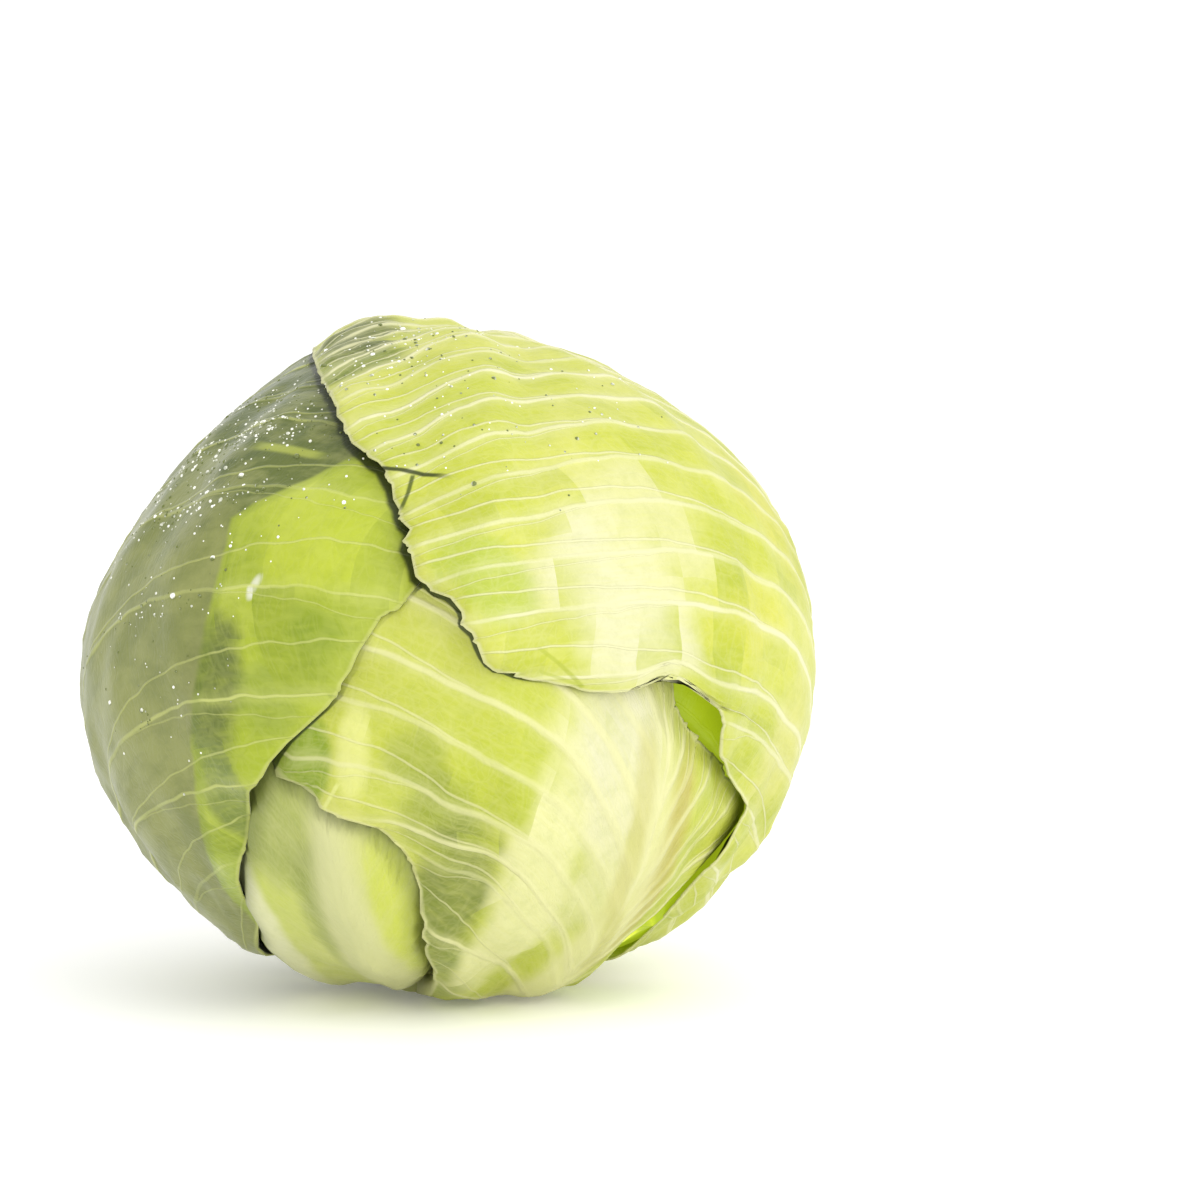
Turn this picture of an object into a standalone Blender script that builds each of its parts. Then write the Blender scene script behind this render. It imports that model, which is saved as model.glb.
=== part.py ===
"""A cabbage head: a cut stem, the dense inner head and eight wrapper leaves. Metres, +Z up.

Each wrapper leaf is drawn flat, in degrees sideways and degrees up from its own centre, and is
wrapped on to the head. It lies on the inner head and on every leaf that is inside it.
"""

import math

import bmesh
import bpy
import numpy as np
from mathutils import Vector
from mathutils.geometry import delaunay_2d_cdt

MM = 0.001

# The whole head, round the point that its leaves wrap. Its weight makes its base flat
WIDTH = 0.1965
DEPTH = 0.190
HEIGHT_ABOVE = 0.0885
HEIGHT_BELOW = 0.0925
FLAT_BASE = 0.0055
FLAT_CORNER = 14.0
CENTRE = np.array([0.0, 0.0, 0.090])
INNER_DETAIL = 4

# Places where the head swells or is flat: azimuth, elevation, reach in degrees, height
SWELLINGS = [
    (-90, 34, 28, -7.8 * MM),
    (-75, 74, 14, 3.5 * MM),
    (95, 58, 24, -3.0 * MM),
    (-98, -8, 22, 1.2 * MM),
    (-90, -38, 20, -1.5 * MM),
    (86, -36, 18, -2.0 * MM),
    (150, 10, 40, 1.5 * MM),
]

# Leaf blades, and the gap between one leaf and the next
BLADE = 1.1 * MM
MARGIN_BLADE = 0.8 * MM
GAP = 1.5 * MM
RIB_HEIGHT = 3.6 * MM
RIB_HALF_WIDTH = 5.0
RIB_ROOM = 1.8
VEIN_HEIGHT = 0.5 * MM
ROWS = 20
COLUMNS = 16
COLUMN_SPREAD = 1.2
COVER_EDGE = 6.0
COVER_FADE = 14.0
SINK_FROM = -24.0
SINK_TO = 8.0

# The stem, cut flat, on which the head rests
STEM_RADIUS = 0.016
STEM_TOP = 0.0105
STEM_BEVEL = 0.0012
STEM_SIDES = 40

# Blade outlines, in degrees from the leaf's centre: from the corner of its base to its tip
WIDE_SIDE = [(21, -87), (38, -74), (60, -42), (76, -6), (77, 28), (60, 54), (33, 72), (0, 78)]
NARROW_SIDE = [(18, -86), (32, -74), (50, -42), (62, -8), (63, 24), (50, 50), (27, 70), (0, 78)]
LEFT_LEAF_BACK = [(18, -86), (32, -74), (50, -42), (62, -8), (63, 24), (54, 56), (30, 81), (0, 89)]
LEFT_LEAF_FRONT = [
    (20, -87), (28, -74), (38, -58), (47, -47), (56, -38), (66, -25), (76, -13), (83, -1),
    (88, 14), (90, 27), (84, 46), (66, 66), (38, 82), (0, 89),
]
FRONT_LEAF_LEFT = [
    (18, -86), (23, -72), (30, -54), (37, -41), (44, -31), (51, -26), (57, -22), (65, -16),
    (72, -2), (73, 16), (64, 40), (44, 62), (20, 74), (0, 77),
]
FRONT_LEAF_RIGHT = [
    (15, -86), (13, -70), (14, -58), (16, -50), (19, -42), (23, -37), (32, -31), (45, -16),
    (50, 10), (46, 40), (28, 66), (0, 77),
]
RIGHT_LEAF_FRONT = [
    (20, -88), (35, -74), (56, -48), (76, -22), (89, 0), (95, 18), (96, 34), (91, 47),
    (82, 63), (73, 77), (58, 91), (38, 101), (16, 106), (0, 106),
]
RIGHT_LEAF_BACK = [(21, -90), (40, -74), (62, -42), (78, -4), (80, 34), (66, 68), (36, 98), (0, 106)]

# How much of the right leaf's front half is left at shares of its length: below, it is narrow, and
# its broad upper part ends in a loose corner
RIGHT_LEAF_BITE = [
    (0, 0.80), (0.06, 0.63), (0.12, 0.54), (0.19, 0.50), (0.215, 0.555), (0.228, 0.69),
    (0.245, 0.74), (0.28, 0.745), (0.288, 0.93), (0.305, 1),
]

# From the innermost leaf to the outermost
LEAVES = [
    dict(name="leaf_1_under_right", azimuth=78, elevation=4, left=NARROW_SIDE, right=WIDE_SIDE),
    dict(name="leaf_2_under_left", azimuth=-66, elevation=4, left=WIDE_SIDE, right=NARROW_SIDE),
    dict(name="leaf_3_front_inner", azimuth=-20, elevation=3, left=NARROW_SIDE, right=NARROW_SIDE),
    dict(name="leaf_4_back_inner", azimuth=-158, elevation=6, left=WIDE_SIDE, right=WIDE_SIDE),
    dict(name="leaf_5_front", azimuth=36, elevation=5, left=FRONT_LEAF_LEFT, right=FRONT_LEAF_RIGHT),
    dict(name="leaf_6_back", azimuth=152, elevation=5, left=WIDE_SIDE, right=NARROW_SIDE),
    dict(name="leaf_7_left", azimuth=-100, elevation=5, left=LEFT_LEAF_BACK, right=LEFT_LEAF_FRONT,
         columns=18),
    dict(name="leaf_8_right", azimuth=100, elevation=8, left=RIGHT_LEAF_FRONT, right=RIGHT_LEAF_BACK,
         bite=RIGHT_LEAF_BITE, rows=26, columns=22),
]

# How a blade fills its outline
BASE_REACH = 15.0
RIB_END = 0.78
OUTLINE_WAVE = 0.9
EDGE_STEP = 6.0
EDGE_ROOM = 3.3

# Where a free margin stands off the leaves inside it: leaf, sideways, up, reach in degrees, height
LIFTS = [
    ("leaf_8_right", -60, -9, 11, 3.5 * MM),
    ("leaf_8_right", -66, 84, 22, 1.8 * MM),
    ("leaf_8_right", -92, 40, 14, 0.8 * MM),
    ("leaf_5_front", -55, -24, 9, 1.6 * MM),
    ("leaf_7_left", 60, -30, 16, 1.0 * MM),
    ("leaf_6_back", -66, 0, 24, 1.6 * MM),
]
LIFT_DEPTH = 10.0
MARGIN_WAVE = 0.7 * MM


def direction_of(azimuth, elevation):
    """The direction at an azimuth from the front towards the right, and an elevation."""
    a, e = math.radians(azimuth), math.radians(elevation)
    return np.array([math.sin(a) * math.cos(e), -math.cos(a) * math.cos(e), math.sin(e)])


def leaf_axes(leaf):
    """The direction of the leaf's centre, its sideways direction and its upward direction."""
    a = math.radians(leaf["azimuth"])
    middle = direction_of(leaf["azimuth"], leaf["elevation"])
    sideways = np.array([math.cos(a), math.sin(a), 0.0])
    return middle, sideways, np.cross(middle, sideways)


def wrap(flat, leaf):
    """Directions on the head of points drawn flat."""
    middle, sideways, upward = leaf_axes(leaf)
    reach = np.maximum(np.hypot(flat[:, 0], flat[:, 1]), 1e-9)[:, None]
    along = (flat[:, :1] * sideways + flat[:, 1:] * upward) / reach
    return np.cos(np.radians(reach)) * middle + np.sin(np.radians(reach)) * along


def unwrap(directions, leaf):
    """Points of the flat drawing, for directions on the head."""
    middle, sideways, upward = leaf_axes(leaf)
    reach = np.degrees(np.arccos(np.clip(directions @ middle, -1, 1)))
    across, up = directions @ sideways, directions @ upward
    length = np.maximum(np.hypot(across, up), 1e-9)
    return np.column_stack([reach * across / length, reach * up / length])


def curve_through(points, shares):
    """Points at shares of the length of a smooth curve through the points given."""
    points = np.array(points, float)
    ends = np.vstack([2 * points[0] - points[1], points, 2 * points[-1] - points[-2]])
    pieces = []
    for before, start, end, after in zip(ends, ends[1:], ends[2:], ends[3:]):
        t = np.linspace(0, 1, 12, endpoint=False)[:, None]
        pieces.append(
            start + 0.5 * t * (end - before)
            + t**2 * (before - 2.5 * start + 2 * end - 0.5 * after)
            + t**3 * (1.5 * start - 0.5 * before - 1.5 * end + 0.5 * after)
        )
    curve = np.vstack(pieces + [points[-1:]])
    length = np.concatenate([[0], np.cumsum(np.hypot(*np.diff(curve, axis=0).T))])
    at = shares * length[-1]
    return np.column_stack([np.interp(at, length, curve[:, 0]), np.interp(at, length, curve[:, 1])])


def full_margin(leaf, side, shares):
    """A margin with its slow waves, from the corner of the base to the tip. side is -1 or 1."""
    edge = curve_through(leaf["left"] if side < 0 else leaf["right"], shares)
    phase = math.radians(leaf["azimuth"]) * 7 + side
    wave = np.sin(shares * 31 + phase) + 0.6 * np.sin(shares * 53 - phase)
    edge[:, 0] += OUTLINE_WAVE * wave * np.sin(np.pi * shares)
    return edge * np.array([side, 1.0])


def rib_ends(leaf):
    """How far down and how far up the midrib reaches."""
    start = BASE_REACH - 90 - leaf["elevation"]
    return start, start + RIB_END * (leaf["left"][-1][1] - start)


def blade_points(leaf, across, along):
    """Flat points of the blade. across runs from -1 to 1, and along from 0 at the base to 1. A row
    with one value of along leaves the midrib and arches out to the margin, as a side vein does."""
    low, high = rib_ends(leaf)
    flat = np.empty((len(across), 2))
    for side in (-1, 1):
        chosen = across <= 0 if side < 0 else across > 0
        t, s = np.abs(across[chosen]), along[chosen]
        if side < 0 and "bite" in leaf:
            t = t * np.interp(s, *zip(*leaf["bite"]))
        start = np.column_stack([np.zeros(len(s)), low + (high - low) * s**1.25])
        end = full_margin(leaf, side, s**0.75)
        rise = np.interp(s, [0, 0.2], [0.1, 0.85])
        bend_up = start[:, 1] + rise * (end[:, 1] - start[:, 1])
        bend = np.column_stack([0.3 * end[:, 0], bend_up])
        t = t[:, None]
        flat[chosen] = (1 - t) ** 2 * start + 2 * t * (1 - t) * bend + t**2 * end
    return flat


def outline_of(leaf):
    """The blade's edge as a closed line of even steps: up its right margin, down its left and along
    its base."""
    along = np.linspace(0, 1, 400)
    right = blade_points(leaf, np.ones(400), along)
    left = blade_points(leaf, -np.ones(400), along)
    base = blade_points(leaf, np.linspace(-1, 1, 60), np.zeros(60))
    line = []
    for part in (right, left[::-1], base):
        length = np.concatenate([[0], np.cumsum(np.hypot(*np.diff(part, axis=0).T))])
        at = np.linspace(0, length[-1], round(length[-1] / EDGE_STEP) + 1)[:-1]
        line += list(np.column_stack([np.interp(at, length, part[:, i]) for i in (0, 1)]))
    return np.array(line)


def depth_inside(flat, line):
    """How far points lie inside a closed line in degrees. It is below 0 outside the line."""
    nearest = np.full(len(flat), 1e9)
    inside = np.zeros(len(flat), bool)
    for start, end in zip(line, np.roll(line, -1, axis=0)):
        run = end - start
        share = np.clip(((flat - start) @ run) / max(run @ run, 1e-12), 0, 1)
        nearest = np.minimum(nearest, np.hypot(*(flat - start - share[:, None] * run).T))
        if start[1] != end[1]:
            spans = (start[1] > flat[:, 1]) != (end[1] > flat[:, 1])
            inside ^= spans & (flat[:, 0] < start[0] + (flat[:, 1] - start[1]) * run[0] / run[1])
    return np.where(inside, nearest, -nearest)


def smooth(value, low, high):
    """0 up to low, 1 from high on, and smooth between."""
    share = np.clip((value - low) / (high - low), 0, 1)
    return share * share * (3 - 2 * share)


def cover(depth):
    """1 on a leaf and just past its margin, fading to 0 further out."""
    return smooth(depth, -COVER_FADE, -COVER_EDGE)


def leaf_thickness(flat, leaf, depth, spread=1.0):
    """The blade's thickness between its side veins. Its midrib, spread wider to find the room that
    it takes under the next leaf, is thickest at the base."""
    low, high = rib_ends(leaf)
    along = np.clip((flat[:, 1] - low) / (high - low), 0, 1)
    width = spread * RIB_HALF_WIDTH * (1.35 - along)
    rib = (1 - along) ** 1.4 * np.exp(-((flat[:, 0] / width) ** 2))
    return MARGIN_BLADE + (BLADE - MARGIN_BLADE) * smooth(depth, 0, 5) + RIB_HEIGHT * rib


def head_radius(directions):
    """The whole head's radius: round, with a flat base."""
    x, y, z = directions.T
    half_height = np.where(z > 0, HEIGHT_ABOVE, HEIGHT_BELOW)
    size = np.sqrt((x / (WIDTH / 2)) ** 2 + (y / (DEPTH / 2)) ** 2 + (z / half_height) ** 2)
    flat = np.maximum(-z, 0) / (CENTRE[2] - FLAT_BASE)
    radius = (size**FLAT_CORNER + flat**FLAT_CORNER) ** (-1 / FLAT_CORNER)
    for azimuth, elevation, reach, height in SWELLINGS:
        away = np.degrees(np.arccos(np.clip(directions @ direction_of(azimuth, elevation), -1, 1)))
        radius = radius + height * np.exp(-((away / reach) ** 2))
    return radius


def inner_radius(directions):
    """The inner head's radius: the whole head's less the leaves there, whose ends are smoothed."""
    radius = head_radius(directions)
    for leaf in LEAVES:
        depth = depth_inside(unwrap(directions, leaf), leaf["line"])
        radius = radius - smooth(depth, SINK_FROM, SINK_TO) * (BLADE + VEIN_HEIGHT + GAP)
    return radius


def leaf_radius(directions, index):
    """Where leaf number index lies: on the inner head and on the leaves inside it."""
    radius = inner_radius(directions) + GAP
    for inside in LEAVES[:index]:
        flat = unwrap(directions, inside)
        depth = depth_inside(flat, inside["line"])
        room = leaf_thickness(flat, inside, depth, RIB_ROOM) + VEIN_HEIGHT + GAP
        radius = radius + cover(depth) * room
    return radius


def leaf_lift(flat, directions, depth, index):
    """How far the leaf's free margin stands off the leaves inside it."""
    leaf = LEAVES[index]
    raised = MARGIN_WAVE * (1 + np.sin(0.22 * flat[:, 1] + 0.09 * flat[:, 0] + index))
    for name, sideways, up, reach, height in LIFTS:
        if name == leaf["name"]:
            away = np.hypot(flat[:, 0] - sideways, flat[:, 1] - up)
            raised = raised + height * np.exp(-((away / reach) ** 2))
    raised = raised * (1 - smooth(depth, 0, LIFT_DEPTH)) * smooth(flat[:, 1], -80, -60)
    for outside in LEAVES[index + 1:]:
        raised = raised * (1 - cover(depth_inside(unwrap(directions, outside), outside["line"])))
    return raised


def side_veins(across, along, rows):
    """The side veins that run along every other row, from 0 between them to 1 on them."""
    return (0.5 + 0.5 * np.cos(np.pi * rows * along)) * np.sin(np.pi * np.abs(across)) ** 0.5


def make_material(name, colour, roughness):
    material = bpy.data.materials.new(name)
    material.use_nodes = True
    shader = material.node_tree.nodes["Principled BSDF"]
    shader.inputs["Base Color"].default_value = (*colour, 1.0)
    shader.inputs["Roughness"].default_value = roughness
    shader.inputs["Metallic"].default_value = 0.0
    return material


def add_object(name, surface, collection, material):
    """Turns a bmesh into an object of the collection."""
    mesh = bpy.data.meshes.new(name)
    surface.to_mesh(mesh)
    surface.free()
    mesh.materials.append(material)
    obj = bpy.data.objects.new(name, mesh)
    collection.objects.link(obj)
    return obj


def blade_mesh(leaf):
    """The blade's flat points, the rise of a side vein at each, and its triangles. The points are
    those of its outline, and rows of points inside it that run as its side veins do."""
    spread = np.linspace(-1, 1, leaf.get("columns", COLUMNS) + 1)
    spread = np.sign(spread) * np.abs(spread) ** COLUMN_SPREAD
    rows = np.linspace(0, 1, leaf.get("rows", ROWS) + 1)
    across, along = (grid.ravel() for grid in np.meshgrid(spread, rows))
    flat = blade_points(leaf, across, along)
    far = depth_inside(flat, leaf["line"]) > EDGE_ROOM
    edge = len(leaf["line"])
    flat = np.vstack([leaf["line"], flat[far]])
    veins = np.concatenate([np.zeros(edge), side_veins(across, along, len(rows) - 1)[far]])
    loop = [(i, (i + 1) % edge) for i in range(edge)]
    points = [Vector(point) for point in flat]
    _, _, triangles, sources, _, _ = delaunay_2d_cdt(points, loop, [], 1, 0.5)
    return flat, veins, [[sources[corner][0] for corner in triangle] for triangle in triangles]


def make_leaf(index, collection, material):
    """A wrapper leaf: triangles laid on the head and thickened outwards, most along the midrib."""
    leaf = LEAVES[index]
    flat, veins, triangles = blade_mesh(leaf)
    directions = wrap(flat, leaf)
    depth = depth_inside(flat, leaf["line"])
    depth[: len(leaf["line"])] = 0
    radius = leaf_radius(directions, index) + leaf_lift(flat, directions, depth, index)
    thickness = leaf_thickness(flat, leaf, depth) + VEIN_HEIGHT * veins
    thickest = MARGIN_BLADE + BLADE + RIB_HEIGHT + VEIN_HEIGHT
    surface = bmesh.new()
    weights = surface.verts.layers.deform.new()
    for direction, reach, thick in zip(directions, radius, thickness):
        surface.verts.new(CENTRE + reach * direction)[weights][0] = thick / thickest
    surface.verts.ensure_lookup_table()
    for triangle in triangles:
        surface.faces.new([surface.verts[corner] for corner in triangle])
    loose = [vertex for vertex in surface.verts if not vertex.link_faces]
    bmesh.ops.delete(surface, geom=loose, context="VERTS")
    blade = add_object(leaf["name"], surface, collection, material)
    blade.data.shade_smooth()
    blade.vertex_groups.new(name="thickness")
    solidify = blade.modifiers.new("thickness", "SOLIDIFY")
    solidify.thickness = thickest
    solidify.offset = 1.0
    solidify.vertex_group = "thickness"
    return blade


def make_inner_head(collection, material):
    surface = bmesh.new()
    bmesh.ops.create_icosphere(surface, subdivisions=INNER_DETAIL, radius=1.0)
    directions = np.array([vertex.co.normalized() for vertex in surface.verts])
    for vertex, direction, reach in zip(surface.verts, directions, inner_radius(directions)):
        vertex.co = CENTRE + reach * direction
    head = add_object("inner_head", surface, collection, material)
    head.data.shade_smooth()
    return head


def make_stem(collection, material):
    surface = bmesh.new()
    bmesh.ops.create_cone(
        surface, cap_ends=True, segments=STEM_SIDES,
        radius1=STEM_RADIUS, radius2=STEM_RADIUS, depth=STEM_TOP,
    )
    stem = add_object("stem", surface, collection, material)
    stem.location.z = STEM_TOP / 2
    bevel = stem.modifiers.new("cut edge", "BEVEL")
    bevel.width = STEM_BEVEL
    bevel.segments = 2
    bevel.angle_limit = math.radians(60)
    return stem


def main():
    for obj in list(bpy.data.objects):
        bpy.data.objects.remove(obj)
    collection = bpy.data.collections.new("cabbage")
    bpy.context.scene.collection.children.link(collection)
    for leaf in LEAVES:
        leaf["line"] = outline_of(leaf)
    make_stem(collection, make_material("stem", (0.80, 0.72, 0.50), 0.7))
    make_inner_head(collection, make_material("inner_head", (0.70, 0.78, 0.30), 0.5))
    colours = {
        "leaf_1_under_right": (0.42, 0.60, 0.05),
        "leaf_2_under_left": (0.60, 0.70, 0.20),
        "leaf_3_front_inner": (0.72, 0.78, 0.30),
        "leaf_5_front": (0.68, 0.76, 0.26),
        "leaf_7_left": (0.42, 0.55, 0.17),
        "leaf_8_right": (0.66, 0.74, 0.27),
    }
    for index, leaf in enumerate(LEAVES):
        colour = colours.get(leaf["name"], (0.50, 0.62, 0.18))
        make_leaf(index, collection, make_material(leaf["name"], colour, 0.45))


main()
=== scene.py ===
"""A white cabbage head, dressed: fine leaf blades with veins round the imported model. Metres, +Z up."""
import math
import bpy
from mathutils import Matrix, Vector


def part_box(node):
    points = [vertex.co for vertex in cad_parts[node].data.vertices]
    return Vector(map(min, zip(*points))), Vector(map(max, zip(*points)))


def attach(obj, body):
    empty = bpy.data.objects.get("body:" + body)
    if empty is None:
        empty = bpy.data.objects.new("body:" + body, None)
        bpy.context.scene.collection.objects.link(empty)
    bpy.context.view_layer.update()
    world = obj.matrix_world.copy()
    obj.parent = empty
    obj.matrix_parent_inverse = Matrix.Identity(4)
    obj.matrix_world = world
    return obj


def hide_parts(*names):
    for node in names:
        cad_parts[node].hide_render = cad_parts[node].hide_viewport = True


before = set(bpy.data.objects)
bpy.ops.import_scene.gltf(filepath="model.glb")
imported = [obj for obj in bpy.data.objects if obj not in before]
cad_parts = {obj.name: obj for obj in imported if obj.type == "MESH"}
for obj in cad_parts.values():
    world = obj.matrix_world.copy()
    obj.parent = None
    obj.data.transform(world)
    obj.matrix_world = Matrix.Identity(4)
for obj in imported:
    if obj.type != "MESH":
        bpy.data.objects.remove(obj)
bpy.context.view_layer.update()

from types import SimpleNamespace

import bpy
import numpy as np
from mathutils import Vector

MM = 0.001

# The whole head, round the point that its leaves wrap
WIDTH = 0.1965
DEPTH = 0.190
HEIGHT_ABOVE = 0.0885
HEIGHT_BELOW = 0.0925
FLAT_BASE = 0.0043
FLAT_CORNER = 14.0
CENTRE = np.array([0.0, 0.0, 0.090])

# Places where the head swells or is flat: azimuth, elevation, reach in degrees, height
SWELLINGS = [
    (-90, 34, 28, -7.8 * MM),
    (-75, 74, 14, 3.5 * MM),
    (95, 58, 24, -3.0 * MM),
    (-98, -8, 22, 1.2 * MM),
    (-90, -38, 20, -1.5 * MM),
    (86, -36, 18, -2.0 * MM),
    (150, 10, 40, 1.5 * MM),
    (0, 90, 9, -2.6 * MM),
    (0, 90, 5, -2.0 * MM),
    (-90, 81, 8, 1.9 * MM),
    (90, 77, 8, -1.8 * MM),
]

# Leaf blades, and the gap between one leaf and the next
BLADE = 1.1 * MM
GAP = 1.5 * MM
RIB_HEIGHT = 3.6 * MM
RIB_HALF_WIDTH = 5.0
RIB_ROOM = 1.8
VEIN_HEIGHT = 0.5 * MM
COVER_EDGE = 6.0
COVER_FADE = 14.0
SINK_FROM = -24.0
SINK_TO = 8.0

# Where the midrib starts, in degrees from the middle of the head's base, the share of the blade that
# it runs up, and the outline's slow waves and even steps in degrees
BASE_REACH = 15.0
RIB_END = 0.78
OUTLINE_WAVE = 0.9
EDGE_STEP = 6.0

# How the dressed blades differ: thin margins, which hug the leaf below unless they stand free
MARGIN_BLADE = 0.55 * MM
HUG = 0.7 * MM
MARGIN_DIP = 0.9 * MM
DEEPEST_DIP = 1.25 * MM
FREE_LIFT = 1.2 * MM
LOWEST = 0.5 * MM

# Their relief: ridges over the side veins and puckers between them in millimetres, the room from
# one vein to the next, and where the bases sag, in degrees down from the leaf's centre
VEIN_RIDGE = 0.62
PUCKER = 0.36
SPAN_LIMITS = (0.5 * MM, 60 * MM)
SAG_FROM_TO = (58, 76)
FAR_OUTSIDE = -20.0

# Slow waves in the blade's own plane, and small uneven teeth of its margin, in degrees
SWAY = 0.9
SWAY_LENGTH = 34
JAG = 0.34

# The leaves' looks: noise scales from broad to fine, how much the veins sway in their spacing, the
# blocks between them, the bumps' depth, and the surface's share of the light that a screen shows
MOTTLE_SCALE = 24
CLOUD_SCALE = 34
VIGOUR_SCALE = 38
EDGE_SCALE = 60
GLOSS_SCALE = 90
DIMPLE_SCALE = 110
SPECK_SCALE = 260
GRAIN_SCALE = 420
VEIN_SWAY = 0.10
BLOCKS_A_MM = 0.085
LEAF_BUMP = 0.6 * MM
FROM_SHOWN = 0.66

# Beads of water: each level's width and height and the top in radii, a direction that they turn
# from, the square metres that each needs, and where their patch ends, in its own reaches
BEAD_SIDES = 7
BEAD_RADIUS = 0.38 * MM
BEAD_LEVELS = ((1.0, -0.35), (0.98, 0.12), (0.72, 0.50))
BEAD_TOP = 0.64
BEAD_TURN = (0.31, 0.7, 0.64)
BEAD_AREA = 4e-6
BEADS_END = 2.2

# Where they lie: leaf, the middle and the reach of the patch in flat degrees, how many, and seed
BEADS = [
    (6, (38, 38), (17, 17), 640, 3),
    (6, (48, 8), (14, 20), 150, 4),
    (7, (-36, 88), (18, 16), 220, 5),
    (7, (-58, 60), (20, 18), 90, 6),
]

# The inner head's mesh and its laps in degrees, and the cut stem's
HEAD_ROWS = 96
LAP_EVERY = 60
STEM_SIDES = 120
STEM_RINGS = 26
STEM_RADIUS_MM = 15.6

# The camera, in metres. It aims right and down by pixels of the picture, like its focal length
CAMERA_DISTANCE = 1.0
CAMERA_HEIGHT = 0.18
PICTURE_PIXELS = 1200
FOCAL_PIXELS = 3725.0
AIM_RIGHT = 153
AIM_DOWN = 282
SENSOR_WIDTH = 36.0

# The studio. Its lights: name, azimuth and elevation from the head, distance, size and power
FLOOR_REACH = 6.0
FLOOR_GLOW = 0.11
SURROUNDING_LIGHT = 1.12
LIGHTS = [
    ("key", 46, 37, 1.5, 1.3, 8.6),
    ("fill", 8, 4, 1.4, 0.9, 2.4),
]

# Blade outlines, in degrees from the leaf's centre: from the corner of its base to its tip
WIDE_SIDE = [(21, -87), (38, -74), (60, -42), (76, -6), (77, 28), (60, 54), (33, 72), (0, 78)]
NARROW_SIDE = [(18, -86), (32, -74), (50, -42), (62, -8), (63, 24), (50, 50), (27, 70), (0, 78)]
LEFT_LEAF_BACK = [(18, -86), (32, -74), (50, -42), (62, -8), (63, 24), (54, 56), (30, 81), (0, 89)]
LEFT_LEAF_FRONT = [
    (20, -87), (28, -74), (38, -58), (47, -47), (56, -38), (66, -25), (76, -13), (83, -1),
    (88, 14), (90, 27), (84, 46), (66, 66), (38, 82), (0, 89),
]
FRONT_LEAF_LEFT = [
    (18, -86), (23, -72), (30, -54), (37, -41), (44, -31), (51, -26), (57, -22), (65, -16),
    (72, -2), (73, 16), (64, 40), (44, 62), (20, 74), (0, 77),
]
FRONT_LEAF_RIGHT = [
    (15, -86), (13, -70), (14, -58), (16, -50), (19, -42), (23, -37), (32, -31), (45, -16),
    (50, 10), (46, 40), (28, 66), (0, 77),
]
RIGHT_LEAF_FRONT = [
    (20, -88), (35, -74), (56, -48), (76, -22), (89, 0), (95, 18), (96, 34), (91, 47),
    (82, 63), (73, 77), (58, 91), (38, 101), (16, 106), (0, 106),
]
RIGHT_LEAF_BACK = [(21, -90), (40, -74), (62, -42), (78, -4), (80, 34), (66, 68), (36, 98), (0, 106)]

# Where a piece of a half is missing: the share of the way up from the base, and the share of its
# width that the half has there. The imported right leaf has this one
RIGHT_LEAF_BITE = [
    (0, 0.80), (0.06, 0.63), (0.12, 0.54), (0.19, 0.50), (0.215, 0.555), (0.228, 0.69),
    (0.245, 0.74), (0.28, 0.745), (0.288, 0.93), (0.305, 1),
]

# The same for the front leaf's right half, which is torn away under the right leaf, for the inner
# leaf beside it, and for the lower corners of the left and right leaves. Only the dressed blades
# have these
FRONT_LEAF_TEAR = [
    (0, 1), (0.20, 1), (0.264, 0.745), (0.33, 0.51), (0.436, 0.285), (0.524, 0.16), (0.60, 0.07),
    (0.66, 0.06), (0.74, 0.5), (0.82, 1),
]
INNER_LEAF_TEAR = [(0, 1), (0.22, 1), (0.32, 0.72), (0.62, 0.70), (0.75, 1)]
LEFT_LEAF_CUT = [(0, 0.25), (0.045, 0.34), (0.062, 0.40), (0.078, 1)]
RIGHT_LEAF_SHOWN = [
    (0, 0.22), (0.05, 0.30), (0.072, 0.45), (0.09, 0.56), (0.12, 0.69), (0.14, 0.70), (0.16, 0.68),
    (0.18, 0.64), (0.20, 0.60), (0.215, 0.59), (0.228, 0.69), (0.245, 0.74), (0.28, 0.745),
    (0.288, 0.93), (0.305, 1),
]

# Where a margin turns sharply and the fine mesh has more rows: from, to and how many
SLOT_ROWS = [(0.279, 0.306, 22), (0.21, 0.247, 16)]
CUT_ROWS = [(0.058, 0.088, 12)]
BESIDE_VEIN = (-0.0052, -0.0022, 0, 0.0022, 0.0052)
LEAST_ROW = 0.0009

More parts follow.
